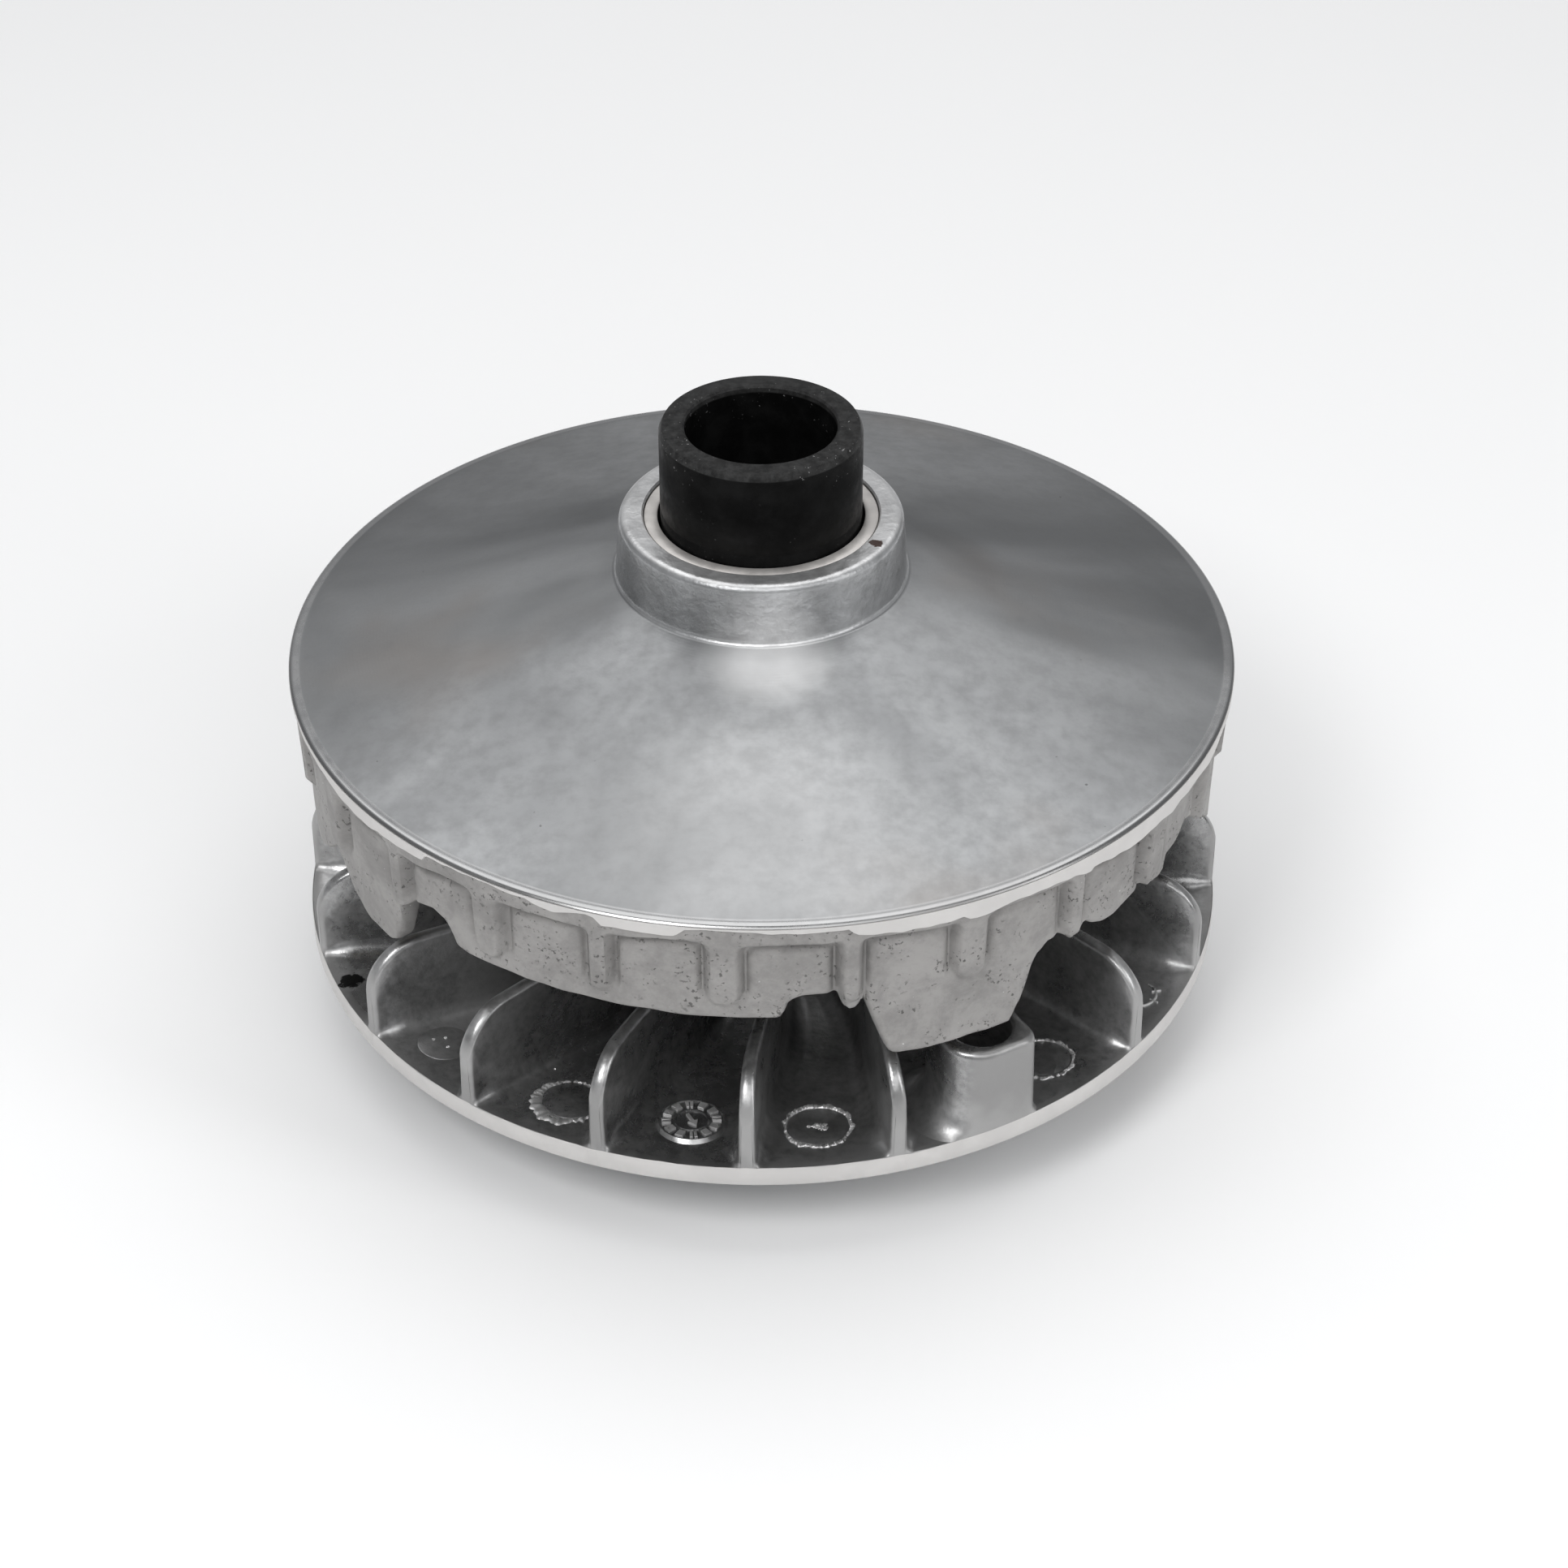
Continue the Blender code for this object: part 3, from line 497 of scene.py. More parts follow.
def fan_casting(name):
    """Dark, shiny die-cast skin inside the fan, paler and matt at its outer edge, with one ink spot."""
    s = Shader(name, Metallic=0.9)
    flow = s.noise(30.0, 3.0, 0.5, distortion=1.2)
    fine = s.noise(560.0, 4.0, 0.65)
    base = s.mix(s.spread(s.both(flow, fine, 0.4), 0.36, 0.64), grey(0.28), grey(0.51))
    grime = s.spread(s.noise(45.0, 4.0, 0.6, distortion=0.8), 0.50, 0.76, 0.0, 0.35)
    color = s.mix(grime, base, grey(0.16))
    streak_coords, r = s.polar(2.2, 40.0)
    streaks = s.spread(s.noise(1.0, 3.0, 0.5, vector=streak_coords, distortion=2.5), 0.60, 0.66, 0.0, 0.25)
    color = s.mix(streaks, color, grey(0.60))
    outer = s.spread(r, 0.0926, 0.0943)
    color = s.mix(outer, color, s.mix(s.spread(flow, 0.4, 0.6), grey(0.32, 0.005), grey(0.42, 0.005)))
    color = s.mix(s.stain(91.9, -65.8, floor_z(91.9), 2.4), color, grey(0.012))
    rough = s.spread(s.both(flow, fine, 0.3), 0.35, 0.65, 0.25, 0.36)
    rough = s.math("ADD", rough, s.times(outer, 0.12))
    relief = s.bump(flow, 0.22, 0.0007)
    grain = s.bump(fine, 0.32, 0.00022, after=relief)
    return s.use(Base_Color=color, Roughness=rough, Normal=grain)


def turned_metal(name, value, rough, metallic=1.0, warm=0.0, spots=0.15):
    """Turned or ground metal: fine rings round the axis and a few dull spots."""
    s = Shader(name, Metallic=metallic)
    rings_at, _ = s.polar(0.0, 7000.0)
    wave = {"Vector": rings_at, "Scale": 0.16, "Distortion": 0.4}
    rings = s.node("ShaderNodeTexWave", wave, bands_direction="Z")
    mottling = s.noise(110.0, 4.0, 0.6)
    dull, bright = grey(value * (1 - spots), warm), grey(value * (1 + spots), warm)
    color = s.mix(s.spread(mottling, 0.35, 0.7), dull, bright)
    normal = s.bump(rings.outputs["Fac"], 0.10, 0.00002)
    grain = s.bump(s.noise(1400.0, 2.0), 0.08, 0.00008, after=normal)
    roughness = s.spread(mottling, 0.3, 0.7, rough - 0.06, rough + 0.1)
    return s.use(Base_Color=color, Roughness=roughness, Normal=grain)


def blackened_steel(name):
    """Black sleeve with dust specks, paler in patches along its top edges."""
    s = Shader(name, Metallic=0.0, Specular_IOR_Level=0.055)
    mottling = s.noise(140.0, 5.0, 0.65)
    base = s.mix(s.spread(mottling, 0.35, 0.7), grey(0.003), grey(0.008))
    z = s.xyz()[2]
    near_top = s.spread(z, (SLEEVE_TOP - 1.5) * MM, (SLEEVE_TOP - 1.2) * MM)
    # paler in patches along the top edges
    paler_top = s.times(near_top, s.patches(520.0, 4.0, 0.7, 0.32, 0.72, 0.30, 0.85))
    base = s.mix(paler_top, base, grey(0.048))
    dust = s.times(s.spread(s.noise(1500.0, 2.0), 0.68, 0.73), s.spread(s.noise(90.0, 2.0), 0.52, 0.64))
    dust = s.times(dust, s.spread(z, (SLEEVE_TOP - 9.0) * MM, SLEEVE_TOP * MM, 0.1, 0.7))
    color = s.mix(dust, base, grey(0.35))
    rough = s.patches(260.0, 4.0, 0.7, 0.3, 0.7, 0.30, 0.50)
    grain = s.bump(s.noise(700.0, 3.0, 0.7), 0.20, 0.00014)
    return s.use(Base_Color=color, Roughness=rough, Normal=grain)


def moulded_plastic(name, color, rough=0.45):
    """Plastic or rubber with a fine moulded grain and faint blotches."""
    s = Shader(name)
    tone = s.patches(90.0, 4.0, 0.6, 0.3, 0.7)
    base = s.mix(tone, (*(c * 0.82 for c in color), 1.0), (*color, 1.0))
    grain = s.bump(s.noise(1600.0, 3.0), 0.15, 0.0001)
    roughness = s.spread(s.noise(300.0), 0.3, 0.7, rough - 0.05, rough + 0.12)
    return s.use(Base_Color=base, Roughness=roughness, Normal=grain)


CONE = machined_cone("satin_machined_cone", 0.23, 0.43)
HUB = machined_cone("satin_hub", 0.30, 0.58, anisotropic=0.1, metallic=0.85, uneven=0.6, with_stain_and_highlight=True)
CAST = raw_casting("raw_cast_skirt", 0.25, 0.37)
STRIP = turned_metal("machined_rim_strip", 0.62, 0.5, metallic=0.3, warm=0.02, spots=0.05)
FAN_CAST = fan_casting("fan_casting_skin")
FLASH = raw_casting("casting_flash", 0.55, 0.80, rough=(0.35, 0.5), metallic=0.7, warm=0.005)
BLACK = blackened_steel("black_steel")
SEAL_STEEL = turned_metal("seal_case_steel", 0.72, 0.42, metallic=0.6, warm=0.04)
RUBBER = moulded_plastic("seal_rubber", (0.010, 0.010, 0.011), 0.5)
STEEL = turned_metal("machined_steel", 0.36, 0.34)
PLATE = turned_metal("cam_plate_steel", 0.30, 0.40)
BRONZE = turned_metal("bush_bronze", 0.28, 0.38, warm=0.35)
BRASS = turned_metal("roller_brass", 0.42, 0.32, warm=0.38)
NYLON = moulded_plastic("slider_nylon", (0.60, 0.56, 0.46))
ROLLER_NYLON = moulded_plastic("roller_nylon", (0.030, 0.036, 0.055), 0.4)


# ---- fan sheave

def vane_angle(k):
    """The vanes stand slightly closer together on one side than on the other."""
    pitch = 360.0 / VANE_COUNT
    return VANE_START + pitch * k - VANE_SWING * math.sin(math.radians(pitch * k))


def vane_lead(r):
    """Plan curve of a vane: degrees ahead of its outer end."""
    return VANE_BEND * (DISC_R - r) ** 2 * min(1.0, r / VANE_BEND_R)


def vane_height(r):
    """Height above the floor: a round outer corner, and a top that falls away towards the hub."""
    corner = DISC_R - VANE_CORNER_R
    top = VANE_TOP - max(VANE_SLOPE_R - r, 0.0) * VANE_SLOPE
    if r > corner:
        top = VANE_TOP - VANE_CORNER_R + math.sqrt(max(VANE_CORNER_R ** 2 - (r - corner) ** 2, 0.0))
    return (top - floor_z(r)) * float(smoothstep(VANE_ROOT_R, VANE_FULL_R, r))


def vane_section(r, height):
    """Half of a vane's cross-section from its middle out, as (offset, height)."""
    tall = max(height, 6.0)
    past = max(r - (VANE_END_R - VANE_END_ROUND), 0.0)
    thinner = VANE_END_ROUND - math.sqrt(max(VANE_END_ROUND ** 2 - past ** 2, 0.0))
    top_half = max(VANE_HALF - thinner, 0.35)
    base_half = top_half + VANE_DRAFT * tall
    edge = min(VANE_EDGE, top_half * 0.8)
    fillet = min(VANE_FILLET, 0.08 * r) - 2.2 * float(smoothstep(89.0, 94.5, r))
    points = [(0.0, tall), (top_half - edge, tall)]
    points += arc(top_half - edge, tall - edge, edge, 60, 0, 3)
    points.append(((top_half + base_half) / 2, (tall + fillet) / 2))
    points += [(base_half + fillet * (1 - math.cos(a)), fillet * (1 - math.sin(a)))
               for a in np.linspace(0.0, math.pi / 2, 6)]
    return [(x, y * height / tall) for x, y in points]


def fan_row(r):
    """Angles and heights of one ring of points: the floor and every vane that it crosses."""
    degrees, heights = [], []
    starts = [vane_angle(k) + vane_lead(r) for k in range(VANE_COUNT + 1)]
    for k in range(VANE_COUNT):
        half = vane_section(r, 0.0 if k == BOSS_SLOT else vane_height(r))
        for offset, height in [(-x, y) for x, y in half[:0:-1]] + half:
            degrees.append(starts[k] + math.degrees(offset / r))
            heights.append(height)
        foot = math.degrees(half[-1][0] / r)
        floor_from, floor_to = starts[k] + foot, starts[k + 1] - foot
        for share in np.linspace(0, 1, 8)[1:-1]:
            degrees.append(floor_from + (floor_to - floor_from) * share)
            heights.append(0.0)
    return np.array(degrees), np.array(heights)


def make_fan_casting():
    """The fan sheave: hub, floor and vanes as one surface, then the rim, the cone and the hub end."""
    stations = [31.9, 33.5, 35.5, 37.3, 37.9, 38.4, 38.8, 39.2, 39.6, 40.4, 42, 45, 49, 53, 56, 58, 60, 63,
                67, 71, 75, 79, 82, 84, 85.5, 87, 88.5, 90, 91.2, 92.2, 92.9, 93.4, 93.7, 94.0, 94.25,
                94.45, 94.6, 94.72]
    skin, strip, cone = 0, 1, 2
    rows, kinds = [], []

    def add(r, degrees, z, kind):
        rows.append(ring_points(r, degrees, z))
        kinds.append(kind)

    inner_degrees, _ = fan_row(stations[0])
    tower = [(FAN_BORE_R, 0.4), (FAN_BORE_R, TOWER_TOP - 0.4), (FAN_BORE_R + 0.4, TOWER_TOP),
             (26.0, TOWER_TOP), (26.8, TOWER_TOP - 0.2), (27.3, TOWER_TOP - 0.7), (TOWER_R, TOWER_TOP - 1.5),
             (28.1, 25.0), (28.2, 21.0), (28.6, 19.0), (29.4, 17.8), (30.5, 17.1)]
    for r, z in tower:
        add(r, inner_degrees, z, skin)
    for r in stations:
        degrees, heights = fan_row(r)
        add(r, degrees, floor_z(r) + heights + 0.07 * ripple(degrees, r, 3), skin)
    wall = floor_z(stations[-1]) + heights
    for r, level in ((94.80, 0.3), (94.83, 1.0)):
        add(r, degrees, np.where(heights > 1.2, wall - level, FLOOR_RIM_Z + 0.12), skin)
    add(94.88, degrees, FLOOR_RIM_Z + 0.05 + 0.10 * ripple(degrees, 0.0, 8, turns=160), strip)
    add(DISC_R, degrees, FLOOR_RIM_Z - 0.15, strip)
    add(DISC_R, degrees, FAN_RIM_Z + 0.45, strip)
    add(94.85, degrees, FAN_RIM_Z + 0.15, cone)
    for r in (94.4, 90.0, 80.0, 68.0, 56.0, 44.0, 34.0, 29.2, 28.2):
        add(r, degrees, FAN_RIM_Z - (DISC_R - r) * CONE_TAN + 0.02, cone)
    for r, z in (HUB_FACE_R, 0.15), (HUB_FACE_R - 0.4, 0.0), (FAN_BORE_R + 0.4, 0.0):
        add(r, degrees, z, cone)
    mesh = grid_mesh("fan_casting", np.stack(rows), [FAN_CAST, STRIP, CONE], np.array(kinds))
    place(mesh, FAN, "fan_sheave")


def boss_outline(count):
    """Plan of the tool boss as points at even angles round its hole."""
    corners = [(BOSS_OUTER, BOSS_RIGHT, 3.5, 0), (BOSS_INNER, BOSS_RIGHT, 6.2, 90),
               (BOSS_INNER, BOSS_LEFT, 7.0, 180), (BOSS_OUTER, BOSS_LEFT, 7.8, 270)]
    dense = []
    for x, y, radius, start in corners:
        cx = x - math.copysign(radius, x - BOSS_HOLE_AT)
        cy = y - math.copysign(radius, y)
        dense += arc(cx, cy, radius, start, start + 90, 24)
    dense = np.array(dense + dense[:1])
    shares = np.linspace(0, 1, 40)[:, None]
    dense = np.concatenate([a + (b - a) * shares for a, b in zip(dense, dense[1:])])
    angles = np.degrees(np.arctan2(dense[:, 1], dense[:, 0] - BOSS_HOLE_AT))
    spans = np.hypot(dense[:, 0] - BOSS_HOLE_AT, dense[:, 1])
    order = np.argsort(angles)
    even = even_degrees(count)
    span = np.interp(even, angles[order], spans[order], period=360.0)
    directions = np.stack([np.cos(np.radians(even)), np.sin(np.radians(even))], axis=-1)
    return directions, span[:, None]


def make_tool_boss():
    """A post with a blind round hole, flush with the rim and flared where it meets the floor."""
    directions, span = boss_outline(96)
    centre = np.array([BOSS_HOLE_AT, 0.0])
    base = floor_z(BOSS_HOLE_AT)

    def ring(spans, z):
        flat = centre + directions * spans
        radius = np.hypot(flat[:, 0], flat[:, 1])[:, None]
        flat = flat * np.minimum(1.0, (VANE_END_R + 0.05) / radius)
        return np.column_stack([flat, np.broadcast_to(z, span.shape)])

    hole, lip, shoulder = np.full_like(span, BOSS_HOLE_R), 0.7, 1.5
    rows = [ring(hole, base + 1.0), ring(hole, BOSS_TOP - lip)]
    rows += [ring(hole + lip * (1 - c), BOSS_TOP - lip * (1 - s)) for c, s in arc(0, 0, 1, 30, 90, 3)]
    rows += [ring(span - shoulder * (1 - c), BOSS_TOP - shoulder * (1 - s))
             for c, s in arc(0, 0, 1, 90, 0, 5)]
    rows += [ring(span + 0.2, (BOSS_TOP + base) / 2)]
    fillet = 4.4 - 2.4 * directions[:, 1:]  # wider on the left
    rows += [ring(span + 0.35 + fillet * (1 - math.cos(a)), base + fillet * (1 - math.sin(a)))
             for a in np.linspace(0.0, math.pi / 2, 7)]
    rows.append(ring(span + fillet + 0.8, base - 1.0))
    mesh = grid_mesh("tool_boss", np.stack(rows), [FAN_CAST], close_rows=False)
    mesh.transform(radial_matrix(BOSS_ANGLE))
    place(mesh, FAN)
    bottom, wide = base + 2.0, BOSS_HOLE_R + 0.1
    plug = [(0.1, bottom), (wide, bottom), (wide, bottom - 0.6), (0.1, bottom - 0.6)]
    at_hole = radial_matrix(BOSS_ANGLE, BOSS_HOLE_AT)
    turned("tool_hole_bottom", plug, FAN, FAN_CAST, steps=48, matrix=at_hole)


def floor_matrix(r, degrees):
    """Stands on the sloping fan floor, local X outward."""
    return radial_matrix(degrees, r, floor_z(r)) @ turn(-FLOOR_TILT, "Y")


def place_on_floor(mesh, r, degrees):
    mesh.transform(in_metres(floor_matrix(r, degrees)))
    place(mesh, FAN)


def make_flash_ring(name, r, degrees, radius, seed, width, ragged, thick_side=0.0, extra=0.0):
    """A ragged crust round an ejector pin, wider on one side, and the pin's mark."""
    turns = even_degrees(240)
    rng = np.random.default_rng(seed)
    inner = radius + 0.3 * ragged * ripple(turns, 0.0, seed, turns=14)
    jags = np.convolve(rng.normal(size=turns.size), (0.12, 0.22, 0.32, 0.22, 0.12), "same")
    wide = width * (1.0 + 0.3 * ripple(turns, 1.0, seed + 1, turns=20)) + ragged * jags
    wide = np.maximum(wide + extra * (0.5 + 0.5 * np.cos(np.radians(turns - thick_side))) ** 2, 0.15)
    tall = 0.30 + 0.14 * ripple(turns, 2.0, seed + 2, turns=60)
    profile = ((-0.15, -0.4), (0.0, 0.3), (0.2, 0.9), (0.5, 0.7), (0.75, 0.95), (0.95, 0.5), (1.1, -0.4))
    rows = [ring_points(inner + side * wide, turns, up * (tall + 0.05 * rng.normal(size=turns.size)))
            for side, up in profile[::-1]]
    mesh = grid_mesh(name, np.stack(rows), [FLASH], sharp=50.0)
    place_on_floor(mesh, r, degrees)
    make_pin_mark(name + "_pin_mark", r, degrees, radius - 0.3)


def make_pin_mark(name, r, degrees, radius):
    """The faint round step of an ejector pin."""
    outline = [(0.1, 0.12), (radius - 0.25, 0.12), (radius, 0.0), (radius, -0.3), (0.1, -0.3)]
    turned(name, outline, FAN, FAN_CAST, steps=64, matrix=floor_matrix(r, degrees))


def make_date_dial():
    """A cast-in dial: raised rim, a ring of twelve blocks, every third one split, and an arrow."""
    matrix = floor_matrix(81.4, -9.9)
    outline = [(0.1, 0.4), (2.95, 0.4), (3.05, 0.75), (3.35, 0.75), (3.5, 0.4), (6.1, 0.4), (6.2, 0.7),
               (6.45, 0.7), (7.1, 0.0), (7.1, -0.3), (0.1, -0.3)]
    turned("dial_plate", outline, FAN, FAN_CAST, matrix=matrix)
    bm = bmesh.new()
    blocks, inner, outer = 12, 4.0, 5.8
    foot, tall = 0.2, 0.65
    for i in range(blocks):
        at_block = matrix @ turn(360.0 * (i + 0.5) / blocks)
        for start, end in [(-0.85, 0.85)] if i % 3 else [(-0.8, -0.15), (0.15, 0.8)]:
            bar = [(inner, start * 0.8), (outer, start), (outer, end), (inner, end * 0.8)]
            emboss(bm, bar, foot, tall, at_block)
    arrow = [(-2.0, -0.35), (0.5, -0.35), (0.5, -1.1), (2.3, 0.0), (0.5, 1.1), (0.5, 0.35), (-2.0, 0.35)]
    emboss(bm, arrow, foot, tall, matrix @ turn(35.0))
    bevelled("dial_marks", bm, FAN, FLASH, 0.1)


def make_tick_ring():
    """Half a cast ring with short ticks, beside a vane."""
    matrix = floor_matrix(86.8, 60.4)
    bm = bmesh.new()
    ring_in, ring_out = 3.7, 4.1
    foot, tall = -0.3, 0.6
    emboss(bm, arc(0, 0, ring_out, -95, 80, 15) + arc(0, 0, ring_in, 80, -95, 15), foot, tall, matrix)
    tick = [(3.0, -0.2), (5.0, -0.2), (5.0, 0.2), (3.0, 0.2)]
    for degrees in (-60, -10, 40):
        emboss(bm, tick, foot, tall, matrix @ turn(degrees))
    bevelled("tick_ring", bm, FAN, FLASH, 0.08)


def make_fan_marks():
    make_date_dial()
    make_tick_ring()
    make_flash_ring("flash_ring_1", 82.4, 7.2, 6.1, 41, 0.7, 0.2, thick_side=220.0, extra=0.4)
    make_flash_ring("flash_ring_2", 82.8, -26.8, 5.9, 52, 0.35, 0.45, thick_side=50.0, extra=1.9)
    make_flash_ring("flash_ring_3", 83.0, 41.4, 5.9, 63, 0.7, 0.12)
    make_pin_mark("pin_mark_4", 84.9, -48.2, 5.4)
    specks = [(82.5, 7.6, 1.1, 5), (82.3, 6.9, 0.8, 6), (83.0, 8.0, 0.8, 7), (82.4, 6.0, 0.4, 8),
              (65.4, -34.3, 1.5, 9), (67.0, -37.0, 0.7, 12), (85.3, -47.2, 0.4, 18),
              (83.9, -49.0, 0.35, 19), (86.1, -49.6, 0.35, 20), (76.0, -33.0, 0.6, 21),
              (72.0, -33.5, 0.5, 22)]
    for number, speck in enumerate(specks, 1):
        make_speck(f"flash_speck_{number}", *speck)


def make_speck(name, r, degrees, size, seed):
    """A small rough crust on the fan floor."""
    turns = even_degrees(40)
    edge = size * (1.0 + 0.25 * ripple(turns, 0.0, seed, turns=5)
                   + 0.2 * ripple(turns, 0.0, seed, turns=16))
    rows = [ring_points(edge * share, turns, up + 0.07 * ripple(turns, share * 9, seed + 1, turns=12))
            for share, up in ((1.1, -0.3), (1.0, 0.05), (0.75, 0.25), (0.45, 0.3), (0.05, 0.25))]
    mesh = grid_mesh(name, np.stack(rows), [FLASH], close_rows=False, sharp=70.0)
    place_on_floor(mesh, r, degrees)


# ---- sliding sheave

def rib_half(number):
    """Half width of a rib: they are wide and narrow in turn."""
    return np.where(number % 2 == 0, RIB_HALF_WIDE, RIB_HALF_NARROW)


def rib_side(degrees):
    """Distance in millimetres from the nearest rib's middle, and that rib's half width."""
    pitch = 360.0 / RIB_COUNT
    offset = (degrees - RIB_START + 180.0) % 360.0 - 180.0
    number = np.round(offset / pitch)
    return np.radians(offset - number * pitch) * PANEL_R, rib_half(number)


def skirt_shape(degrees, drop):
    """Outer radius of the skirt and the painted shade in its recesses, by how deep they are, at a distance
    below the rim edge.
    """
    side, half = rib_side(degrees)
    tall = (RIB_DROP + 10.0) / 2
    rib = rounded_box(side, drop - (RIB_DROP - tall), half, tall, half * 0.95)
    band = drop - BAND_DROP - 0.3 * ripple(degrees, 0.0, 21)
    raised = soft_min(rib, band, 2.2)
    depth = VALLEY_DEPTH * (1.0 - smoothstep(15.5, 20.0, drop))
    valley = np.exp(-((raised - 1.15) / 0.8) ** 2)
    wall = PANEL_R - depth * valley - 0.02 * np.maximum(drop - 10.0, 0.0)
    face = RIB_R - 0.045 * np.maximum(drop - 4.0, 0.0)
    lift = 1.0 - smoothstep(-0.9, 0.8, raised)
    radius = wall + (face - wall) * lift + 0.08 * ripple(degrees, drop, 31, waves=18, turns=90)
    # painted shade in the valley at the foot of the ribs and band, as strong as the valley is deep
    crease = np.exp(-((raised - 0.75) / 0.6) ** 2)
    recess = 0.35 * crease * depth / VALLEY_DEPTH
    return radius, recess


def skirt_columns():
    """Angles of the columns: close together at the ribs' sides, even between them."""
    pitch = 360.0 / RIB_COUNT
    degrees = []
    for i in range(RIB_COUNT):
        half, next_half = float(rib_half(i)), float(rib_half((i + 1) % RIB_COUNT))
        near = [0.5 * half] + [half + x for x in (-0.7, -0.35, -0.05, 0.25, 0.55, 0.9, 1.3, 1.8, 2.4)]
        offsets = sorted([-x for x in near] + [0.0] + near)
        gap_to = math.radians(pitch) * PANEL_R - next_half - 2.4
        offsets += list(np.linspace(near[-1], gap_to, 20)[1:-1])
        degrees += [RIB_START + pitch * i + math.degrees(x / PANEL_R) for x in offsets]
    return np.array(degrees)


def make_sliding_casting():
    """The sliding sheave from its bore up over the hub, cone, rim and skirt, and back underneath."""
    cone, hub, strip, cast = 0, 1, 2, 3
    degrees = skirt_columns()
    rows, kinds, recesses = [], [], []

    def add(r, z, kind, recess=0.0):
        rows.append(ring_points(r, degrees, z))
        kinds.append(kind)
        recesses.append(np.broadcast_to(recess, degrees.shape))

    def follow(outline, kind):
        for r, z in outline:
            add(r, z, kind)

    seat = HUB_TOP - SEAL_DEPTH
    follow([(BUSH_BORE_R, HUB_LOW + SEAL_DEPTH), (BUSH_BORE_R, seat), (SEAL_BORE_R, seat),
            (SEAL_BORE_R, HUB_TOP - 0.35), (SEAL_BORE_R + 0.3, HUB_TOP), (HUB_TOP_R - 1.8, HUB_TOP)], hub)
    round_r = 1.7
    follow(arc(HUB_TOP_R - round_r, HUB_TOP - round_r, round_r, 84, 4, 7), hub)
    slope, fillet = math.radians(CONE_SLOPE), 1.3
    centre_z = cone_z(HUB_R + fillet) + fillet / math.cos(slope)
    add((HUB_R + HUB_TOP_R) / 2, (centre_z + HUB_TOP) / 2, hub)
    for a in np.linspace(0, math.pi / 2 - slope, 7):
        add(HUB_R + fillet * (1 - math.cos(a)), centre_z - fillet * math.sin(a), hub if a < 0.8 else cone)
    follow([(r, cone_z(r)) for r in (34.0, 42.0, 52.0, 62.0, 72.0, 82.0, 89.0, 92.2)], cone)
    for r, z in ((92.7, 0.615), (93.1, 0.57), (93.5, 0.56), (93.9, 0.55), (94.3, 0.46), (94.65, 0.27),
                 (94.9, -0.05)):
        add(r, SHEAVE_Z + z, cone)
    for r, drop in ((94.62, 0.08), (94.62, 0.2), (94.95, 0.25)):
        add(r, SHEAVE_Z - drop, strip)
    strip_low = closed_outline(STRIP_EDGE, degrees, 0.08)
    strip_low = np.maximum(strip_low + 0.09 * ripple(degrees, 0.0, 12, waves=16, turns=150), 0.45)
    add(94.95, SHEAVE_Z - strip_low, strip)
    bottom = SHEAVE_Z - closed_outline(SKIRT_EDGE, degrees, 0.14)
    bottom = bottom + 0.10 * ripple(degrees, 0.0, 17, turns=80)
    steep = np.abs(np.gradient(bottom, np.radians(degrees) * PANEL_R))
    bevel = 0.8 + 0.7 * smoothstep(1.2, 2.2, steep)
    edge = np.clip(bevel * np.sqrt(1.0 + steep ** 2), 0.8, 4.5)
    start = SHEAVE_Z - strip_low - 0.18
    for share in np.linspace(0.0, 1.0, 52) ** 1.05:
        z = start + (bottom + edge - start) * share
        radius, recess = skirt_shape(degrees, SHEAVE_Z - z)
        add(radius, z, cast, recess)
    for inward, lift in ((0.12, 0.55), (0.42, 0.2), (1.0, 0.0)):
        add(radius - inward * bevel / 0.8, bottom + edge * lift, cast)
    inner = SKIRT_INNER_R + 0.06 * np.maximum(SHEAVE_Z - bottom - 12.0, 0.0)
    for outward, lift in ((1.0, 0.0), (0.3, 0.25), (0.0, 1.0)):
        add(inner + outward, bottom + lift, cast)
    ceiling = ceiling_z(SKIRT_INNER_R)
    add(SKIRT_INNER_R, bottom + (ceiling - 3.0 - bottom) * 0.6, cast)
    follow([(SKIRT_INNER_R, ceiling - 2.0), (SKIRT_INNER_R - 0.6, ceiling - 0.4)], cast)
    follow([(r, ceiling_z(r)) for r in (84.0, 72.0, 60.0, 48.0, 38.0, 32.5)], cast)
    root = ceiling_z(31.0)
    follow([(30.2, root - 0.4), (29.3, root - 1.4), (HUB_INNER_R, root - 3.0), (HUB_INNER_R, HUB_LOW + 0.8),
            (HUB_INNER_R - 0.7, HUB_LOW), (SEAL_BORE_R + 0.2, HUB_LOW), (SEAL_BORE_R, HUB_LOW + 0.2),
            (SEAL_BORE_R, HUB_LOW + SEAL_DEPTH)], cast)
    mesh = grid_mesh("sliding_casting", np.stack(rows)[:, ::-1], [CONE, HUB, STRIP, CAST], np.array(kinds),
                     recess=np.stack(recesses)[:, ::-1])
    place(mesh, SLIDING, "sliding_sheave")


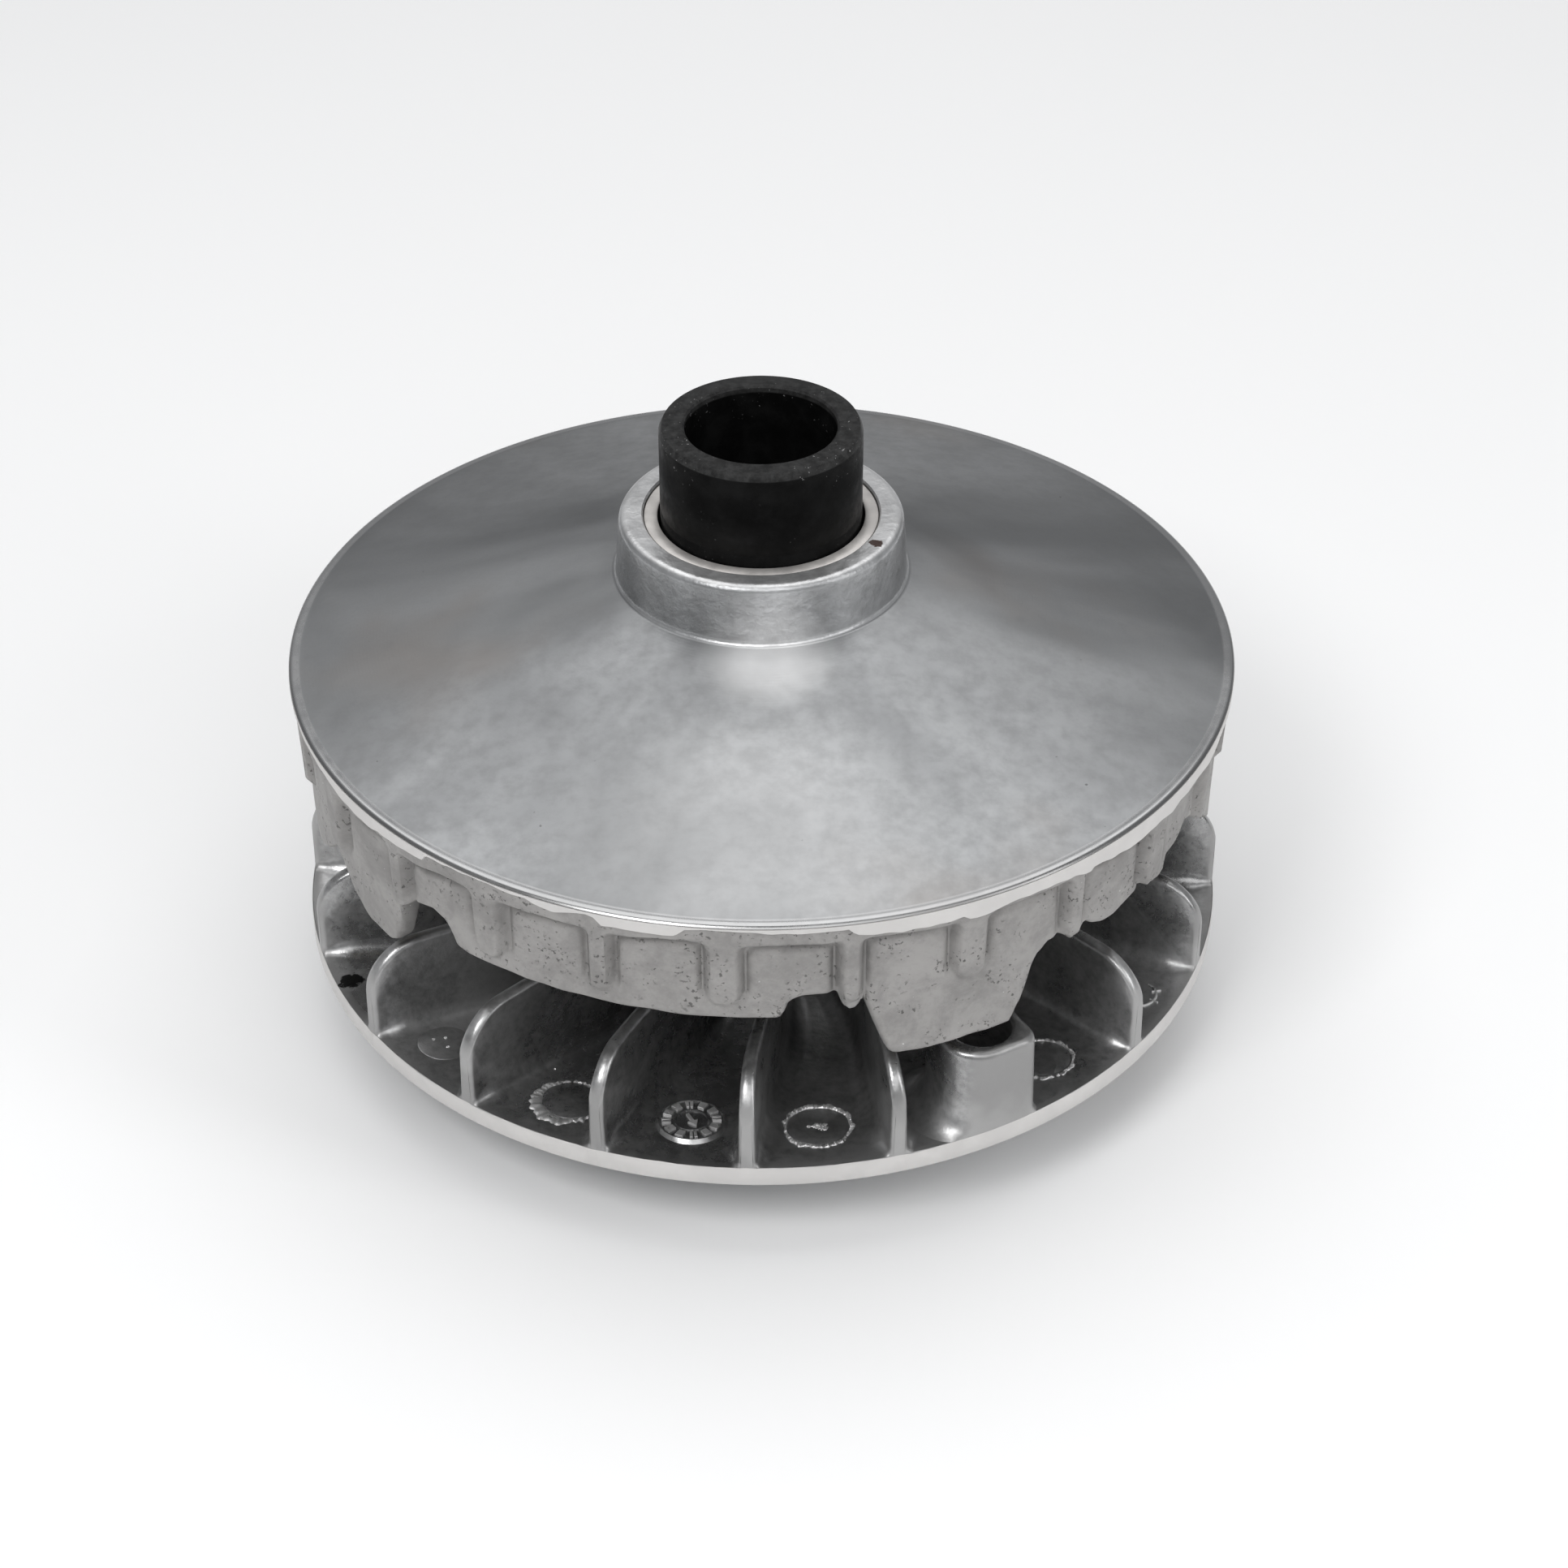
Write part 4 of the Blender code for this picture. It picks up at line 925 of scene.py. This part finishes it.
def make_pocket_walls():
    """Walls beside each roller and guides for the sliders, cast inside the sliding sheave."""
    wall_in, wall_bend, wall_out = 27.0, 40.0, SKIRT_INNER_R + 0.8
    lift, sunk = 4.0, 0.8
    bm = bmesh.new()

    def pairs(outline, inner, thick, angles):
        for degrees in angles:
            fin(bm, outline, inner, inner + thick, degrees)
            fin(bm, outline, -inner - thick, -inner, degrees)

    roof_out = (wall_out, ceiling_z(wall_out) + sunk)
    walls = [(wall_in, cam_z(wall_in) + lift + 3.0), (wall_bend, cam_z(wall_bend) + lift),
             (wall_out, cam_z(wall_out) + lift), roof_out, (wall_in, ceiling_z(wall_in) + sunk)]
    pairs(walls, POCKET_HALF, POCKET_WALL, spaced(ROLLER_ANGLE, ROLLER_COUNT))
    guides = [(GUIDE_IN, GUIDE_LOW + 2.0), (GUIDE_IN + 2.0, GUIDE_LOW), (wall_out, GUIDE_LOW), roof_out,
              (GUIDE_IN, ceiling_z(GUIDE_IN) + sunk)]
    pairs(guides, SLIDER_HALF + GAP, GUIDE_T, spaced(SLIDER_ANGLE, SLIDER_COUNT))
    bevelled("pocket_walls", bm, SLIDING, CAST, 0.5)


# ---- sleeve, seals, bushes and insert

def make_sleeve():
    flat_out, chamfer, bore = SLEEVE_R - 0.6, 1.2, SLEEVE_BORE_R
    groove, groove_r = HUB_TOP + 1.7, SLEEVE_R - 0.15
    outline = [(bore + 0.4, SLEEVE_TOP), (flat_out - 0.12, SLEEVE_TOP), (flat_out, SLEEVE_TOP - 0.08),
               (SLEEVE_R - 0.04, SLEEVE_TOP - chamfer), (SLEEVE_R, SLEEVE_TOP - chamfer - 0.2),
               (SLEEVE_R, groove + 0.5), (groove_r, groove + 0.2), (groove_r, groove - 0.2),
               (SLEEVE_R, groove - 0.5), (SLEEVE_R, SLEEVE_LOW + 1.0), (SLEEVE_R - 1.0, SLEEVE_LOW),
               (bore + 0.5, SLEEVE_LOW), (bore, SLEEVE_LOW + 0.5), (bore, SLEEVE_TOP - 0.4)]
    turned("ground_sleeve", outline, CORE, BLACK, "sleeve", steps=192)


def make_seals():
    """Each seal is a bright steel case with a black rubber lip that runs on the sleeve."""
    outer, inner, lip = reach("seal_upper") + 0.2, 20.5, SLEEVE_R + 0.12
    for end, facing, hidden in (("upper", high, low), ("lower", low, high)):
        node = "seal_" + end
        face, back = facing(node), hidden(node)
        out = 1.0 if face > back else -1.0
        case = [(inner, face - 0.15 * out), (inner + 0.25, face), (outer - 0.7, face),
                (outer - 0.15, face - 0.25 * out), (outer, face - 0.8 * out), (outer, back),
                (inner + 1.2, back), (inner, face - 1.2 * out)]
        rubber = [(lip + 0.1, face - 1.3 * out), (inner - 0.1, face - 0.7 * out),
                  (inner - 0.1, back + 0.2 * out), (lip + 0.6, back + 0.2 * out), (lip, face - 2.2 * out)]
        if out < 0:
            case.reverse()
            rubber.reverse()
        turned("seal_case_" + end, case, SLIDING, SEAL_STEEL, node, steps=160)
        turned("seal_lip_" + end, rubber, SLIDING, RUBBER, steps=160)


def make_bushes():
    running, outer, chamfer = SLEEVE_R + GAP, reach("bush_upper"), 0.5
    for node in ("bush_upper", "bush_lower"):
        top, bottom = high(node), low(node)
        outline = [(running + chamfer, top), (outer - chamfer, top), (outer, top - chamfer),
                   (outer, bottom + chamfer), (outer - chamfer, bottom), (running + chamfer, bottom),
                   (running, bottom + chamfer), (running, top - chamfer)]
        turned("turned_" + node, outline, SLIDING, BRONZE, node, steps=160)


def splined(outline, bore_rows, degrees):
    """Rings of points whose bore rows follow the spline teeth."""
    pitch = 360.0 / SPLINE_TEETH
    offset = np.abs((degrees + pitch / 2) % pitch - pitch / 2)
    bore = SPLINE_LAND_R + (SPLINE_ROOT_R - SPLINE_LAND_R) * (1.0 - smoothstep(3.6, 5.2, offset))
    return np.stack([ring_points(bore + r if i in bore_rows else r, degrees, z)
                     for i, (r, z) in enumerate(outline)])


def make_hub_insert():
    radius, top, edge = reach("fan_hub_insert"), high("fan_hub_insert"), 0.8
    outline = [(0.5, top), (radius - edge, top), (radius, top - edge), (radius, edge), (radius - edge, 0.0),
               (0.5, 0.0), (0.0, 0.5), (0.0, top - 0.5)]
    points = splined(outline, (0, 5, 6, 7), even_degrees(SPLINE_TEETH * 16))
    place(grid_mesh("splined_insert", points[::-1], [STEEL]), FAN, "fan_hub_insert")


def cam_columns():
    """Angles round the cam plate, a pair at each side of the slider notches, and their half width."""
    degrees = set(np.round(even_degrees(SPLINE_TEETH * 14), 4))
    half = math.degrees((SLIDER_HALF + GAP + GUIDE_T + 1.2) / (CAM_R - 3.0))
    for centre in spaced(SLIDER_ANGLE, SLIDER_COUNT):
        for side in (-1, 1):
            degrees |= {(centre + side * (half + nudge)) % 360.0 for nudge in (-0.08, 0.08)}
    return np.array(sorted(degrees)), half


def make_cam_plate():
    degrees, notch_half = cam_columns()
    offset = (degrees - SLIDER_ANGLE + 45.0) % 90.0 - 45.0
    outer = np.where(np.abs(offset) < notch_half, (GUIDE_IN - 1.0) / np.cos(np.radians(offset)), CAM_R)
    start, under = CAM_FLAT_R + 1.0, CAM_FLAT_R + 2.0
    rows = []

    def follow_ramp(r, below=0.0):
        rows.append(ring_points(r, degrees, np.vectorize(cam_z)(r) - below))

    follow_ramp(CAM_FLAT_R - 1.0)
    for share in (0.0, 0.25, 0.5, 0.75, 0.985):
        follow_ramp(start + (outer - start) * share)
    for inward, below in ((0.15, 0.2), (0.0, 0.8), (0.0, CAM_THICK - 0.8), (0.3, CAM_THICK - 0.2)):
        follow_ramp(outer - inward, below)
    for share in (0.98, 0.7, 0.4, 0.1):
        follow_ramp(under + (outer - under) * share, CAM_THICK)
    for r, z in ((CAM_FLAT_R, CAM_TOP - 4.3), (26.0, CAM_TOP - 4.5), (23.0, CAM_TOP - 5.2),
                 (22.0, CAM_LOW + 0.6), (21.4, CAM_LOW)):
        rows.append(ring_points(r, degrees, z))
    bore = [(0.4, CAM_LOW), (0.0, CAM_LOW + 0.4), (0.0, CAM_TOP - 0.4), (0.4, CAM_TOP)]
    points = np.concatenate([np.stack(rows), splined(bore, range(4), degrees)])
    place(grid_mesh("ramped_cam_plate", points[::-1], [PLATE]), CORE, "cam_plate")
    tab_in = GUIDE_IN - 5.0
    outline = [(tab_in, TAB_LOW), (TAB_OUT, TAB_LOW), (TAB_OUT, TAB_HIGH), (tab_in, TAB_HIGH)]
    bm = bmesh.new()
    for angle in spaced(SLIDER_ANGLE, SLIDER_COUNT):
        fin(bm, outline, -TAB_HALF, TAB_HALF, angle)
    bevelled("cam_tabs", bm, CORE, PLATE, 0.5)


def make_sliders():
    """Nylon clips, C-shaped over the cam plate's tabs."""
    low_lip, high_lip, back = TAB_LOW - GAP, TAB_HIGH + GAP, TAB_OUT + GAP
    outline = [(SLIDER_IN, SLIDER_LOW), (SLIDER_OUT, SLIDER_LOW), (SLIDER_OUT, SLIDER_HIGH),
               (SLIDER_IN, SLIDER_HIGH), (SLIDER_IN, high_lip), (back, high_lip), (back, low_lip),
               (SLIDER_IN, low_lip)]
    for number, degrees in enumerate(spaced(SLIDER_ANGLE, SLIDER_COUNT), 1):
        bm = bmesh.new()
        fin(bm, outline, -SLIDER_HALF, SLIDER_HALF, degrees)
        bevelled(f"nylon_slider_{number}", bm, CORE, NYLON, 0.6, f"slider_{number}")


def make_rollers():
    """Roller weights: a nylon tyre on a brass core, lying with their axes tangential."""
    half, edge, bore = ROLLER_HALF, 1.3, 11.3
    tyre = [(bore + 0.4, half)] + arc(ROLLER_R - edge, half - edge, edge, 90, 0, 5)
    tyre += arc(ROLLER_R - edge, edge - half, edge, 0, -90, 5)
    tyre += [(bore + 0.4, -half), (bore, 0.4 - half), (bore, half - 0.4)]
    core_r, hole, face = 11.0, 4.5, half - 0.2
    upper = [(hole, face - 1.2), (hole + 0.6, face - 0.6), (hole + 1.6, face - 0.6), (hole + 1.9, face),
             (core_r - 0.3, face), (core_r, face - 0.3)]
    core = upper[1:] + [(r, -z) for r, z in upper[::-1]] + upper[:1]
    for number, degrees in enumerate(spaced(ROLLER_ANGLE, ROLLER_COUNT), 1):
        matrix = radial_matrix(degrees, ROLLER_AT, ROLLER_Z) @ turn(90.0, "X")
        body, shell, weight = f"roller_{number}", f"roller_shell_{number}", f"roller_core_{number}"
        turned(f"roller_tyre_{number}", tyre, body, ROLLER_NYLON, shell, 96, matrix)
        turned(f"roller_weight_{number}", core, body, BRASS, weight, 72, matrix)


# ---- view

def stand(name, data, location, direction):
    """Put a lamp or camera in the scene, looking along a direction."""
    obj = bpy.data.objects.new(name, data)
    bpy.context.scene.collection.objects.link(obj)
    obj.location = location
    obj.rotation_euler = Vector(direction).to_track_quat("-Z", "Y").to_euler()
    return obj


def softbox(name, location, size, radiance):
    """A rectangular light of the given brightness that faces the object."""
    data = bpy.data.lights.new(name, "AREA")
    data.shape = "RECTANGLE"
    data.size, data.size_y = size
    data.energy = radiance * math.pi * size[0] * size[1]
    middle = Vector((0, 0, 0.06))
    stand(name, data, location, middle - Vector(location))


def make_view():
    scene = bpy.context.scene
    pan, tilt = math.radians(0.451), math.radians(35.912)
    back, above_rim = 0.56845, 0.3751
    data = bpy.data.cameras.new("camera")
    data.lens = 77.33
    data.clip_start = 0.01
    look = (math.sin(pan) * math.cos(tilt), math.cos(pan) * math.cos(tilt), -math.sin(tilt))
    scene.camera = stand("camera", data, (0.0, -back, SHEAVE_Z * MM + above_rim), look)
    scene.view_settings.view_transform = "Standard"


def make_studio():
    world = bpy.data.worlds.new("studio")
    bpy.context.scene.world = world
    world.use_nodes = True
    background = world.node_tree.nodes["Background"]
    background.inputs["Color"].default_value = (0.97, 0.98, 1.0, 1.0)
    background.inputs["Strength"].default_value = 0.36
    bpy.ops.mesh.primitive_plane_add(size=8.0, location=(0, 0, -0.0002))
    floor = bpy.context.object
    floor.name = "studio_floor"
    paper = Shader("pale_floor", Roughness=0.9)
    paper.use(Base_Color=paper.mix(paper.noise(3.0), grey(0.96), grey(0.98)))
    floor.data.materials.append(paper.material)
    softbox("overhead_softbox", (0.0, 0.45, 1.5), size=(1.9, 1.5), radiance=1.15)
    softbox("front_key", (-0.45, -0.75, 1.0), size=(0.45, 0.45), radiance=8.5)
    softbox("front_fill", (0.4, -1.3, 1.25), size=(1.3, 0.9), radiance=1.5)
    softbox("right_strip", (1.0, -0.5, 0.6), size=(0.3, 0.8), radiance=3.4)


make_fan_casting()
make_tool_boss()
make_fan_marks()
make_sliding_casting()
make_pocket_walls()
make_sleeve()
make_seals()
make_bushes()
make_hub_insert()
make_cam_plate()
make_sliders()
make_rollers()
make_view()
make_studio()
